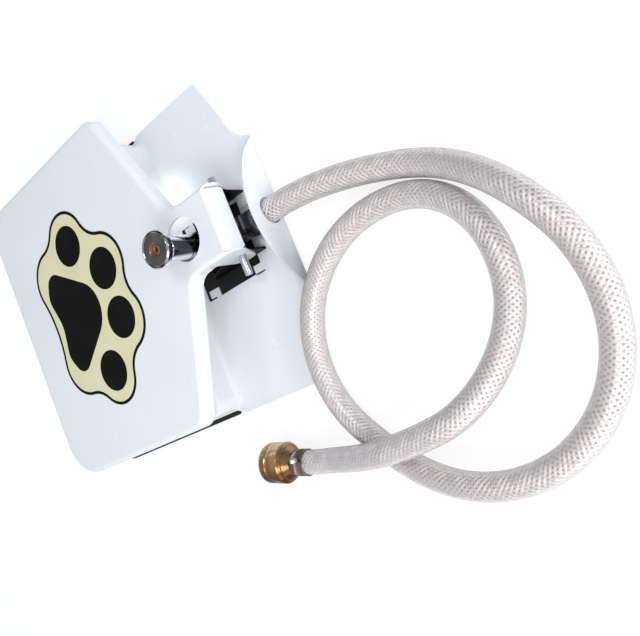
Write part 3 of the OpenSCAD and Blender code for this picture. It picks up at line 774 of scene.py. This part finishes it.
def add_plate(surface, outline, foot):
    """Plate round the platform's foot, with the opening and two screw holes."""
    opening = resample(OPENING_SIDE + [(-x, y) for x, y in OPENING_SIDE[::-1]], 3.0)
    far = grid_points(-117, 117, 48, 108, 12.0)
    far = far[np.abs(far[:, 0]) > 62]
    # extra points along the edges of the raised area
    crease = [(side * x, y) for side in (-1, 1) for x in (47.2, 48.0, 48.8, 38.0, 35.0)
              for y in np.arange(58, 128, 3.0)]
    inner = np.concatenate([grid_points(-60, 60, 44, 137, 3.0), far, np.array(crease)])
    inner = keep_clear(inner, outline, 1.0, [(foot, 1.2), (opening, 1.0)])
    for x, y in PLATE_SCREWS:
        inner = inner[np.hypot(inner[:, 0] - x, inner[:, 1] - y) > 2.4]
    screws = [circle(x, y, 1.55, 24) for x, y in PLATE_SCREWS]
    verts, faces = triangulate(outline, [foot, opening, *screws], inner)
    surface.add_patch(list(np.column_stack([verts, plate_z(verts[:, 0], verts[:, 1])])), faces)


def add_upright(surface, bend_half):
    """Bend, then the round-topped wall with the hose hole."""
    bottom = BASE_Z + BEND_RADIUS
    wall_half = math.sqrt(UPRIGHT_RADIUS ** 2 - (bottom - UPRIGHT_Z) ** 2)
    across = [1 - 2 * k / BEND_STEPS for k in range(BEND_STEPS + 1)]
    rows = []
    for angle in np.linspace(0, 90, 7):
        s, c = sin_cos(angle)
        half = bend_half + (wall_half - bend_half) * angle / 90
        y, z = BEND_Y + BEND_RADIUS * s, BASE_Z + BEND_RADIUS * (1 - c)
        rows.append([(u * half, y, z) for u in across])
    surface.add_grid(rows, flipped=True)
    start = math.degrees(math.atan2(bottom - UPRIGHT_Z, wall_half))
    top = arc(0, UPRIGHT_Z, UPRIGHT_RADIUS, np.linspace(start, 180 - start, 60))
    outline = np.array([(u * wall_half, bottom) for u in across[:0:-1]] + top[:-1])
    hole = circle(0, HOSE_HOLE_Z, 10.1, 64)
    inner = keep_clear(grid_points(-60, 60, 7, 36, 4.0), outline, 1.4, [(hole, 1.4)])
    verts, faces = triangulate(outline, [hole], inner)
    surface.add_patch([(x, BEND_Y + BEND_RADIUS, z) for x, z in verts], faces)


def make_base():
    base = Surface()
    outline, bend_half = base_outline()
    foot = add_platform(base)
    add_plate(base, outline, foot)
    add_upright(base, bend_half)
    sheet_object("base_sheet", base, "base", "base", BASE_TOP - BASE_BOTTOM, 0.0, bevel=0.42)


make_base()

# ------------------------------------------------------------------ pedal
PEDAL_X, PEDAL_HALF = -6.0, 130.0
PEDAL_TOP = 50.2
PEDAL_REAR = 116.8                 # rear end of the flat top
NECK_Y = 78.2                      # where the wide part's slope meets the narrow rear part
SLOPE_Y = NECK_Y - 0.424 * (PEDAL_HALF - 28)
EAR_LEFT, EAR_RIGHT = -31.0, 20.5  # the ears' outer planes
EAR_BEND = 3.0
EAR_START = 96.0                   # behind this the bend follows the ear's rounded corner
RIM_BOTTOM = 38.2
# rounded top rear corner of the ears
EAR_CORNER_Z, EAR_CORNER_HEIGHT, EAR_CORNER_REACH = 40.2, 10.0, 8.5


def ear_reach(z):
    """Rear end of the ears at height z."""
    rise = (z - EAR_CORNER_Z) / EAR_CORNER_HEIGHT
    return PEDAL_REAR + EAR_CORNER_REACH * math.sqrt(max(0.0, 1 - rise ** 2))


EAR_REAR = ear_reach(PEDAL_TOP - EAR_BEND)


def pedal_outline():
    """Open line from the left ear round the front to the right ear."""
    x0, x1 = PEDAL_X - PEDAL_HALF, PEDAL_X + PEDAL_HALF
    loop = corner_loop([
        (EAR_LEFT, EAR_REAR, 0), (EAR_LEFT, 95, 12), (PEDAL_X - 28, NECK_Y, 13),
        (x0, SLOPE_Y, 14), (x0, -148.5, 32), (x1, -148.5, 32), (x1, SLOPE_Y, 14),
        (PEDAL_X + 28, NECK_Y, 13), (EAR_RIGHT, 95, 12), (EAR_RIGHT, EAR_REAR, 0)], 16)
    return resample(loop, 3.5, closed=False)


def add_rim(surface, run, bend, is_ear):
    """Bend and rim round the outline; returns the ring where the flat top ends."""
    normals = outward(line_tangents(run, run[1] - run[0], run[-1] - run[-2]))
    rings = []
    for angle in np.linspace(0, 90, 9):
        s, c = sin_cos(angle)
        ring = run - normals * (bend * (1 - s))[:, None]
        # each ring of the bend stops where the ear's rounded corner crosses it
        reach = ear_reach(PEDAL_TOP - EAR_BEND * (1 - c))
        k = (reach - EAR_START) / (EAR_REAR - EAR_START)
        y = ring[:, 1]
        ring[:, 1] = np.where(y > EAR_START, EAR_START + (y - EAR_START) * k, y)
        rings.append(np.column_stack([ring, PEDAL_TOP - bend * (1 - c)]))
    surface.add_grid(rings)
    # the rim hangs below the bend, except on the ears, which have their own patches
    for k in (0.5, 1.0):
        z = (PEDAL_TOP - bend) * (1 - k) + RIM_BOTTOM * k
        surface.verts += list(np.column_stack([run, z]))
    n, last = len(run), len(rings) - 1
    for j in range(n - 1):
        if is_ear[j] and is_ear[j + 1]:
            continue
        for row in (last, last + 1):
            a = row * n + j
            surface.faces.append((a, a + 1, a + 1 + n, a + n))
    return rings[0]


def add_ear(surface, run, bend, is_ear, side):
    """Flat patch in a side plane, in (y, z), with the hinge pin's hole."""
    idx = [j for j in range(len(run)) if is_ear[j] and (run[j, 0] - PEDAL_X) * side > 0]
    idx.sort(key=lambda j: run[j, 1])
    top = PEDAL_TOP - bend[idx]
    y0 = run[idx[0], 1]
    shared = [(run[j, 1], z) for j, z in zip(idx, top)]      # along the bend, front to rear
    rear = arc(PEDAL_REAR, EAR_CORNER_Z, EAR_CORNER_REACH, np.linspace(38, 0, 8),
               radius_y=EAR_CORNER_HEIGHT)
    rear += arc(PEDAL_REAR, EAR_CORNER_Z, EAR_CORNER_REACH, (-10, -19, -28))
    bottom = arc(105.5, 19.5, 9.8, np.linspace(-28, -180, 26))
    front = [(95.7, 33.2), (95.5, 35.4), (94.9, 37.2), (y0, RIM_BOTTOM),
             (y0, (RIM_BOTTOM + top[0]) / 2)]
    # the upper boundary keeps its points, so that it joins the bend
    rest = resample(shared[-1:] + rear + bottom + front, 2.0, closed=False)
    loop = np.concatenate([np.array(shared[:-1]), rest])
    hole = circle(HINGE_Y, HINGE_Z, 3.08, 40)
    inner = keep_clear(grid_points(96.5, 124, 11, 46, 2.5), loop, 1.0, [(hole, 1.0)])
    verts, faces = triangulate(loop, [hole], inner)
    # near the neck the ear isn't quite in its plane, so it takes the outline's X
    xs = np.interp(verts[:, 0], run[idx, 1], run[idx, 0])
    surface.add_patch([(x, y, z) for x, (y, z) in zip(xs, verts)], faces)


def add_pedal_top(surface, edge):
    """Flat top with the nozzle's hole."""
    x0, x1 = edge[-1, 0], edge[0, 0]
    rear = [(x0 + (x1 - x0) * k / 20, PEDAL_REAR) for k in range(1, 20)]
    loop = np.array([tuple(p[:2]) for p in edge] + rear)
    hole = circle(PEDAL_X, NOZZLE_Y, 16.2, 96)
    grid = grid_points(PEDAL_X - 120, PEDAL_X + 120, -140, 110, 10.0)
    verts, faces = triangulate(loop, [hole], keep_clear(grid, loop, 3, [(hole, 2)]))
    surface.add_patch([(x, y, PEDAL_TOP) for x, y in verts], faces)


def add_rear_flange(surface):
    """Flange bent down at the rear; a corner gap parts it from each ear."""
    radius, tilt, bottom = 3.4, 76, 33.8
    profile = []
    for angle in np.linspace(0, tilt, 8):
        s, c = sin_cos(angle)
        profile.append((PEDAL_REAR + radius * s, PEDAL_TOP - radius * (1 - c)))
    y1, z1 = profile[-1]
    fall, run_out = sin_cos(tilt)
    length = (z1 - bottom) / fall
    profile += [(y1 + run_out * length * k, z1 - fall * length * k)
                for k in (0.33, 0.66, 0.85, 1.0)]
    rows = []
    for i, (y, z) in enumerate(profile):
        gap = 3.0 - 0.9 * min(1.0, i / 8.0)
        x0, x1 = EAR_RIGHT - gap, EAR_LEFT + gap
        rows.append([[x0 + (x1 - x0) * k / 20, y, z] for k in range(21)])
    # the bottom corners are drawn in
    rows[-1][0][0] -= 1.2
    rows[-1][20][0] += 1.2
    surface.add_grid(rows)


def make_pedal():
    pedal = Surface()
    run = pedal_outline()
    bend = 4.6 - 1.6 * smoothstep(70, 96, run[:, 1])     # tighter on the ears
    is_ear = run[:, 1] > 93.9
    edge = add_rim(pedal, run, bend, is_ear)
    for side in (-1, 1):
        add_ear(pedal, run, bend, is_ear, side)
    add_pedal_top(pedal, edge)
    add_rear_flange(pedal)
    sheet_object("pedal_sheet", pedal, "pedal", "pedal", SHEET, -1.0, bevel=0.40)


make_pedal()

# ------------------------------------------------------------------ pieces kept from the CAD
for material, names in (
    (BLACK, "paw_border paw_pads"),
    (CREAM, "paw_field"),
    (RUBBER, "base_mat plunger_seal stem_gasket nut_washer"),
    (BLACKED, "valve_bracket inner_clamp_screw"),
    (POWDER, "bracket_screw_left bracket_screw_right"),
    (ZINC, "body_screw_front body_screw_rear plunger_spring outer_clamp_screw"),
    (PIN, "pin_clip_left pin_clip_inner plunger"),
    (BRASS, "valve_body gland_nut inlet_barb hose_tail"),
):
    for name in names.split():
        NODES[name].data.materials.clear()
        NODES[name].data.materials.append(material)

# the bracket's feet (m) are coated over with the base
bracket = NODES["valve_bracket"].data
bracket.materials.append(POWDER)
for polygon in bracket.polygons:
    is_foot = polygon.center.y > 0.1078 and polygon.center.z < 0.0058
    polygon.material_index = 1 if is_foot else 0

# ------------------------------------------------------------------ hinge pin and spring
# (radius, place along X, corner radius), with a groove for each clip
HINGE_PIN = [
    (0, -41.5, 0), (2.9, -41.5, 0.6), (2.98, -33.05, 0), (2.4, -33.05, 0), (2.4, -31.9, 0),
    (2.98, -31.9, 0), (2.98, 15.4, 0), (2.4, 15.4, 0), (2.4, 16.6, 0), (2.98, 16.6, 0),
    (2.98, 35.5, 0.8), (0, 35.5, 0),
]
turned("hinge_pin_turned", HINGE_PIN, (0, HINGE_Y, HINGE_Z), (1, 0, 0), sides=64, steps=5,
       sharp=50, material=PIN, slot="pin_steel", replaces="hinge_pin", merge=0.001)


def make_spring():
    """Return spring round the plunger, drawn as one fixed coil; the real spring shortens as the
    plunger goes down.
    """
    turns, per_turn, sides = 5.2, 28, 12
    coil_radius, wire_radius = 5.6, 0.7
    z0, z1 = 33.8, 42.45
    count = round(turns * per_turn)
    rows = []
    for i in range(count + 1):
        a = 2 * math.pi * i / per_turn
        z = z0 + (z1 - z0) * i / count
        row = []
        for j in range(sides):
            b = 2 * math.pi * j / sides
            r = coil_radius + wire_radius * math.cos(b)
            row.append((r * math.cos(a), PLUNGER_Y + r * math.sin(a),
                        z + wire_radius * math.sin(b)))
        rows.append(row)
    coil = Surface()
    coil.add_grid(rows, closed=True, flipped=True)
    coil.faces.append(tuple(range(sides)))
    coil.faces.append(tuple(count * sides + j for j in range(sides - 1, -1, -1)))
    obj = new_object("plunger_spring_coil", coil.verts, coil.faces, ZINC, "zinc_steel",
                     replaces="plunger_spring")
    finish_solid(obj, 60)
    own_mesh(obj)


make_spring()

# ------------------------------------------------------------------ nozzle
# (radius, height, corner radius)
TOP = NOZZLE_TOP
STEM = [
    (4.2, 22.1, 0), (7, 22.1, 0.3), (7, 31.24, 0), (9, 31.24, 0.5), (9, 70.3, 0.8),
    (8.2, 71.6, 0.4), (8.2, TOP - 5.62, 0), (6.4, TOP - 5.62, 0), (6.4, TOP - 2.6, 0),
    (4.2, TOP - 2.6, 0),
]
NOZZLE_HEAD = [
    (6.45, TOP - 5.6, 0), (12.6, TOP - 5.6, 0.5), (13.6, TOP - 4.7, 0.5),
    (13.6, TOP - 1.0, 0.6), (12.7, TOP, 0.5), (11.9, TOP, 0.3), (11.5, TOP - 0.35, 0.3),
    (5.7, TOP - 0.30, 0.3), (5.2, TOP - 0.7, 0.3), (4.0, TOP - 1.2, 0.2),
    (4.0, TOP - 2.5, 0), (6.45, TOP - 2.5, 0),
]
NOZZLE_INSERT = [
    (1.2, TOP - 6, 0), (3.95, TOP - 6, 0), (3.95, TOP - 1.3, 0.3), (3.5, TOP - 1.0, 0.3),
    (1.9, TOP - 1.3, 0.4), (1.2, TOP - 2.2, 0),
]


def nozzle_part(piece, profile, sides, steps, material, slot):
    return turned(piece + "_turned", profile, (0, NOZZLE_Y, 0), UP, sides, steps, sharp=40,
                  material=material, slot=slot, replaces=piece)


def make_nozzle():
    nozzle_part("nozzle_stem", STEM, 128, 4, CHROME, "chrome")
    head = nozzle_part("nozzle_head", NOZZLE_HEAD, 128, 4, CHROME, "brushed_steel").data
    head.materials.append(HEAD)
    head.materials.append(INSERT)
    # ringed steel on the top face, brass on the lip of its bore
    for polygon in head.polygons:
        c = polygon.center
        radius = math.hypot(c.x, c.y - NOZZLE_Y * MM)
        index = 0
        if c.z > (TOP - 1.3) * MM:
            index = 2 if radius < 0.0047 else 1 if radius < 0.01165 else 0
        polygon.material_index = index
    nozzle_part("nozzle_insert", NOZZLE_INSERT, 64, 3, INSERT, "brass")


make_nozzle()

# ------------------------------------------------------------------ hose
# degrees turned in each length of HOSE_ARC; the last is a short part of one
HOSE_TURNS = [-23, -39.7, -61.1, -66.7, -45.2, -70.2, -65, -90.9, -69.6, -15.5, -6.4]
HOSE_ARC, LAST_PART = 101.7, 0.35
# (place counted in arcs, height of the hose's centre)
HOSE_HEIGHTS = [
    (0, HOSE_HOLE_Z), (1, 9.3), (2, 33), (3, 26), (4, 26), (5, 9.3), (6, 10.3), (7, 9.6),
    (8, 24), (9, 42), (9.45, 36), (10, 17.5), (10.35, 16),
]
LINEAR_SPANS = (9, 10)     # spans of HOSE_HEIGHTS that fall straight; the others are eased


def hose_height(s):
    last_span = len(HOSE_HEIGHTS) - 1
    span = max(j for j in range(last_span) if HOSE_HEIGHTS[j][0] <= s + 1e-6)
    (s0, z0), (s1, z1) = HOSE_HEIGHTS[span:span + 2]
    w = (s - s0) / (s1 - s0) if span in LINEAR_SPANS else smoothstep(s0, s1, s)
    return z0 * (1 - w) + z1 * w


def hose_path(step=2.0):
    """Centre line from the barb to the coupling, and its last heading in degrees."""
    y_bend = 146.0         # the hose runs straight back to here
    pts = [(0.0, y, BARB_Z + (HOSE_HOLE_Z - BARB_Z) * smoothstep(128, y_bend, y))
           for y in np.arange(104.5, y_bend, step)]
    x, y, heading = 0.0, y_bend, 90.0
    for i, turn in enumerate(HOSE_TURNS):
        part = 1 if i < 10 else LAST_PART
        length = HOSE_ARC * part
        m = int(round(length / step))
        for k in range(m):
            pts.append((x, y, hose_height(i + k / m * part)))
            s, c = sin_cos(heading + turn * (k + 0.5) / m)
            x += length / m * c
            y += length / m * s
        heading += turn
    pts.append((x, y, 16.0))
    path = np.array(pts)
    # take the corners out of the height, keeping both ends
    for _ in range(6):
        z = path[:, 2].copy()
        path[22:-10, 2] = (0.25 * z[:-2] + 0.5 * z[1:-1] + 0.25 * z[2:])[21:-9]
    return path, heading


PATH, END_HEADING = hose_path()
END = PATH[-1]
END_SIN, END_COS = sin_cos(END_HEADING)
END_DIR = np.array([END_COS, END_SIN, 0.0])
TANGENTS = line_tangents(PATH, (0, 1, 0), END_DIR)
SIDES = np.cross(TANGENTS, UP)
SIDES /= np.linalg.norm(SIDES, axis=1)[:, None]
UPS = np.cross(SIDES, TANGENTS)
LENGTHS = np.concatenate([[0], np.cumsum(np.linalg.norm(np.diff(PATH, axis=0), axis=1))])
TOTAL = LENGTHS[-1]


def hose_frame(s):
    """Centre, side and up vectors at arc lengths s."""
    return [np.stack([np.interp(s, LENGTHS, line[:, k]) for k in range(3)], axis=1)
            for line in (PATH, SIDES, UPS)]


def tube(name, r_out, r_in, inset, m, step, material, replaces=None):
    """Hollow tube along the hose, stopping short of both ends by inset."""
    k = int((TOTAL - inset - inset) / step)
    centre, side, up = hose_frame(np.linspace(inset, TOTAL - inset, k + 1))
    angles = np.linspace(0, 2 * math.pi, m + 1)[:-1]
    cos, sin = np.cos(angles)[:, None], np.sin(angles)[:, None]
    verts, faces = [], []
    for r in (r_out, r_in):
        for i in range(k + 1):
            verts += list(centre[i] + r * (cos * side[i] + sin * up[i]))
    o = (k + 1) * m        # first point of the inner skin
    for i in range(k):
        for j in range(m):
            a, b = i * m + j, i * m + (j + 1) % m
            faces.append((a, b, b + m, a + m))
            faces.append((o + a, o + a + m, o + b + m, o + b))
    end = k * m
    for j in range(m):
        j2 = (j + 1) % m
        faces.append((j, o + j, o + j2, j2))
        faces.append((end + j, end + j2, o + end + j2, o + end + j))
    new_object(name, verts, faces, material, "clear_pvc", replaces=replaces)


tube("hose_wall", 9.0, 8.78, inset=0, m=40, step=3.0, material=PVC, replaces="hose")
tube("hose_liner", 8.0, 6.05, inset=0.05, m=36, step=4.0, material=LINER)


def make_braid():
    """Yarn woven over two and under two, both ways round, as real strands."""
    name = "hose_braid"
    yarns, pitch, steps_per_pitch = 12, 43.0, 34
    radius, lift, half_width, half_height = 8.33, 0.16, 0.89, 0.24
    inset = 0.2
    light = np.array([0.30, 0.60, 0.74])
    light /= np.linalg.norm(light)
    total = TOTAL - 2 * inset
    steps = int(total / pitch * steps_per_pitch)
    s = np.linspace(inset, inset + total, steps + 1)
    centre, side, up = hose_frame(s)
    verts, quads, caps, glint = [], [], [], []
    for direction in (1, -1):
        for q in range(yarns):
            angle = 2 * math.pi * q / yarns + direction * 2 * math.pi * (s / pitch)
            # crossings with the other family come twice per yarn spacing
            phase = 2 * math.pi * (yarns * 2 * s / pitch) / 4 + direction * (math.pi / 2) * q
            r = radius + lift * np.tanh(2.2 * np.sin(phase)) * direction
            radial = np.cos(angle)[:, None] * side + np.sin(angle)[:, None] * up
            strand = centre + r[:, None] * radial
            along = np.gradient(strand, axis=0)
            along /= np.linalg.norm(along, axis=1)[:, None]
            across = np.cross(along, radial)
            across /= np.linalg.norm(across, axis=1)[:, None]
            wide, shoulder = half_width * across, 0.66 * half_width * across
            rise = 0.72 * half_height * radial
            ring = np.stack([
                strand + wide, strand + rise + shoulder, strand + half_height * radial,
                strand + rise - shoulder, strand - wide, strand - half_height * radial], axis=1)
            start = len(verts) * (steps + 1) * 6
            verts.append(ring.reshape(-1, 3))
            # painted highlight: the yarn's colour is lighter where the strand lies across one
            # fixed light direction
            glint.append(np.repeat((1 - (along @ light) ** 2) ** 9, 6))
            rows = start + np.arange(steps) * 6
            for k in range(6):
                a, c = rows + k, rows + (k + 1) % 6
                quads.append(np.stack([a, c, c + 6, a + 6], axis=1))
            end = start + steps * 6
            caps += [range(start + 5, start - 1, -1), range(end, end + 6)]
    points = np.concatenate(verts) * MM
    quads = np.concatenate(quads)
    n = len(quads)
    loops = np.concatenate([quads.ravel(), np.array(caps).ravel()])
    starts = np.concatenate([np.arange(n) * 4, n * 4 + np.arange(len(caps)) * 6])
    totals = np.concatenate([np.full(n, 4), np.full(len(caps), 6)])
    mesh = bpy.data.meshes.new(name)
    mesh.vertices.add(len(points))
    mesh.vertices.foreach_set("co", points.astype(np.float32).ravel())
    mesh.loops.add(len(loops))
    mesh.loops.foreach_set("vertex_index", loops.astype(np.int32))
    mesh.polygons.add(len(starts))
    mesh.polygons.foreach_set("loop_start", starts.astype(np.int32))
    mesh.polygons.foreach_set("loop_total", totals.astype(np.int32))
    mesh.update(calc_edges=True)
    mesh.validate()
    mesh.polygons.foreach_set("use_smooth", np.ones(len(mesh.polygons), bool))
    attribute = mesh.attributes.new("glint", "FLOAT", "POINT")
    attribute.data.foreach_set("value", np.concatenate(glint).astype(np.float32))
    obj = link_object(name, mesh)
    mesh.materials.append(YARN)
    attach(obj, "base")


make_braid()


# ------------------------------------------------------------------ hose clamps
def clamp_band(clamp, origin, direction, start, material):
    """Worm-drive band: a thin ring with a row of pressed slots."""
    origin, side, up, axis = axis_frame(origin, direction)
    n, width, r_in, r_out = 144, 8, 9.04, 9.95
    stations = [0, 0.25, 0.22 * width, 0.27 * width, 0.5 * width, 0.73 * width, 0.78 * width,
                width - 0.25, width]
    verts, faces = [], []
    for k in range(n):
        t = 2 * math.pi * k / n
        section = []
        for i, h in enumerate(stations):
            r = r_out - (0.25 if i in (0, 8) else 0.0)
            if k % 4 in (0, 1) and 3 <= i <= 5:
                r = r_out - 0.55       # floor of a slot
            section.append((r, h))
        for r, h in section + [(r_in, width), (r_in, 0)]:
            verts.append(origin + axis * (start + h) + (side * math.cos(t) + up * math.sin(t)) * r)
    w = len(stations) + 2
    for k in range(n):
        a, b = k * w, (k + 1) % n * w
        for i in range(w):
            i2 = (i + 1) % w
            faces.append((a + i, b + i, b + i2, a + i2))
    obj = new_object(clamp + "_band", verts, faces, material, "dark_steel", replaces=clamp)
    finish_solid(obj, 30)


def housing(name, low, high, place, material):
    """Arched screw housing, from corners (across, along, up) that place maps to the unit."""
    (x0, y0, z0), (x1, y1, z1) = low, high
    n = 14
    shoulder, rise = z0 + 0.45 * (z1 - z0), 0.55 * (z1 - z0)
    y_mid, half = (y0 + y1) / 2, (y1 - y0) / 2
    z_mid = z0 + 0.4 * (z1 - z0)
    profile = [(y0, z0), (y0, shoulder)]
    for k in range(1, n):
        t = math.pi - math.pi * k / n
        profile.append((y_mid + half * math.cos(t), shoulder + rise * math.sin(t)))
    profile += [(y1, shoulder), (y1, z0)]
    m = len(profile)
    # both ends are drawn in a little
    rows = [[place((x, y_mid + (y - y_mid) * k, (z_mid + (z - z_mid) * k) if z > z0 else z))
             for y, z in profile]
            for x, k in ((x0, 0.93), (x0 + 0.3, 1), (x1 - 0.3, 1), (x1, 0.93))]
    body = Surface()
    body.add_grid(rows, closed=True)
    body.faces.append(tuple(range(m)))
    body.faces.append(tuple(reversed([3 * m + j for j in range(m)])))
    finish_solid(new_object(name, body.verts, body.faces, material, "dark_steel"), 35)


def at_coupling(point):
    """Maps (across, along, up) at the hose's far end to the unit's axes."""
    across, along, up = point
    return END + np.cross(END_DIR, UP) * across + UP * up + END_DIR * along


clamp_band("inner_clamp", (0, 118.9, BARB_Z), (0, 1, 0), 0, DARK)
housing("inner_clamp_housing", (-5.5, 119.5, BARB_Z + 9.6), (5.5, 126.3, BARB_Z + 15.6),
        lambda p: p, DARK)
clamp_band("outer_clamp", END, END_DIR, -12, CLAMP)
housing("outer_clamp_housing", (-4.1, -11.4, 9.6), (4.1, -4.6, 15.7), at_coupling, CLAMP)

# ------------------------------------------------------------------ swivel nut
NUT_R, NUT_BORE, NUT_L = 15.5, 13.3, 25.0
# (radius, distance past the hose end, corner radius)
NUT_PROFILE = [
    (7.26, 0.5, 0), (9.2, 0.5, 0.6), (NUT_R - 1.7, 6.4, 1.5), (NUT_R, 8.2, 0.9),
    (NUT_R, 16.4, 0.7), (NUT_R - 0.75, 17.3, 0.4), (NUT_R - 0.85, 19.2, 0.4),
    (NUT_R - 0.25, 20.1, 0.4), (NUT_R - 0.25, NUT_L - 1.2, 0.5),
    (NUT_R - 0.9, NUT_L - 0.1, 0.2), (NUT_R - 0.9, NUT_L + 0.3, 0.2),
    (NUT_R - 1.3, NUT_L + 0.5, 0.2), (NUT_BORE + 0.25, NUT_L + 0.5, 0.2),
    (NUT_BORE, NUT_L + 0.1, 0), (NUT_BORE, 5.14, 0), (7.26, 5.14, 0),
]
turned("swivel_nut_turned", NUT_PROFILE, END, END_DIR, sides=144, steps=4, sharp=40,
       material=NUT, slot="brass_nut", body="nut", replaces="swivel_nut")


# ------------------------------------------------------------------ stage (m)
def plane(name, half_x, half_y, material):
    mesh = bpy.data.meshes.new(name)
    mesh.from_pydata([(-half_x, -half_y, 0), (half_x, -half_y, 0), (half_x, half_y, 0),
                      (-half_x, half_y, 0)], [], [(0, 1, 2, 3)])
    mesh.materials.append(material)
    return link_object(name, mesh)


def aim(obj, place, target):
    obj.location = place
    direction = Vector(target) - Vector(place)
    obj.rotation_euler = direction.to_track_quat("-Z", "Y").to_euler()


def floor_material():
    """Pale floor: looks near white, and still takes a faint contact shadow."""
    nodes = new_material("pale_floor")
    colour = nodes.mottle(nodes.coords(), 3, 3, (0.93, 0.93, 0.93), (0.95, 0.95, 0.95))
    diffuse = nodes.add("BsdfDiffuse", {"Color": colour}).outputs[0]
    glow = nodes.add("Emission", {"Color": (1, 1, 1), "Strength": 1.10}).outputs[0]
    seen = nodes.add("LightPath").outputs["Is Camera Ray"]
    return nodes.surface(nodes.mix_shader(nodes.calc("MULTIPLY", seen, 0.72), diffuse, glow))


plane("floor", 4, 4, floor_material())


def make_world():
    """Even studio sky, brighter toward +X."""
    world = bpy.data.worlds.new("studio")
    bpy.context.scene.world = world
    world.use_nodes = True
    nodes = Nodes(world.node_tree)
    toward = nodes.dot(nodes.add("TexCoord").outputs["Generated"], (0.80, -0.25, 0.30))
    colour = nodes.ramp(nodes.remap(toward, -0.9, 0.9, 0.0, 1.0),
                        [(0.05, (0.46, 0.54, 0.60)), (0.85, (0.93, 0.95, 0.98))])
    background = world.node_tree.nodes["Background"]
    nodes.plug(colour, background.inputs["Color"])
    background.inputs["Strength"].default_value = 0.70


make_world()


def area(name, place, target, size, power, colour=(1, 1, 1)):
    light = bpy.data.lights.new(name, "AREA")
    light.energy = power
    light.color = colour
    light.size = size
    obj = link_object(name, light)
    aim(obj, place, target)
    return obj


area("key", (0.55, 0.45, 0.75), (0.02, 0.02, 0), size=0.42, power=2.6,
     colour=(1.0, 0.995, 0.985))
area("top", (-0.25, 0.55, 1.15), (0.1, 0.15, 0), size=0.35, power=2.6, colour=(0.98, 0.99, 1.0))
area("front", (0.25, 1.25, 0.32), (0.0, 0.05, 0.03), size=0.7, power=6.4)
area("side", (1.15, 0.42, 0.24), (0.0, 0.05, 0.02), size=0.6, power=1.5)
# a small fill under the pedal lights the plate seen through the nozzle's hole
fill = area("fill", (-0.062, 0.054, 0.034), (-0.034, 0.036, 0.008), size=0.02, power=0.012)
fill.visible_camera = False
fill.visible_glossy = False


def card(name, place, half_x, half_y):
    """Dark card that only gives the metal something to reflect."""
    nodes = new_material(name)
    colour = nodes.mottle(nodes.coords(), 2, 2, (0.02,) * 3, (0.024,) * 3)
    obj = plane(name, half_x, half_y, nodes.principled(Base_Color=colour, Roughness=0.8))
    aim(obj, place, (0, 0.086, 0.06))
    obj.visible_shadow = False
    obj.visible_diffuse = False


card("card_a", (0.35, 1.2, 0.35), 0.18, 0.45)
card("card_b", (-0.9, 0.9, 0.5), 0.12, 0.4)

camera = bpy.data.cameras.new("camera")
camera.sensor_width = 36.0
camera.sensor_fit = "HORIZONTAL"
camera.lens = 36.5266125
camera.clip_start = 0.01
camera_object = link_object("camera", camera)
# columns: right, up and backward directions, then the place
camera_object.matrix_world = Matrix((
    (0.3781488191, -0.9203345793, 0.0999386450, 0.129937),
    (0.7255873032, 0.3616992920, 0.5854030130, 0.410781),
    (-0.5749143728, -0.1488552461, 0.8045592456, 0.378545),
    (0, 0, 0, 1)))
scene = bpy.context.scene
scene.camera = camera_object
scene.view_settings.view_transform = "Standard"
scene.view_settings.exposure = 0.0
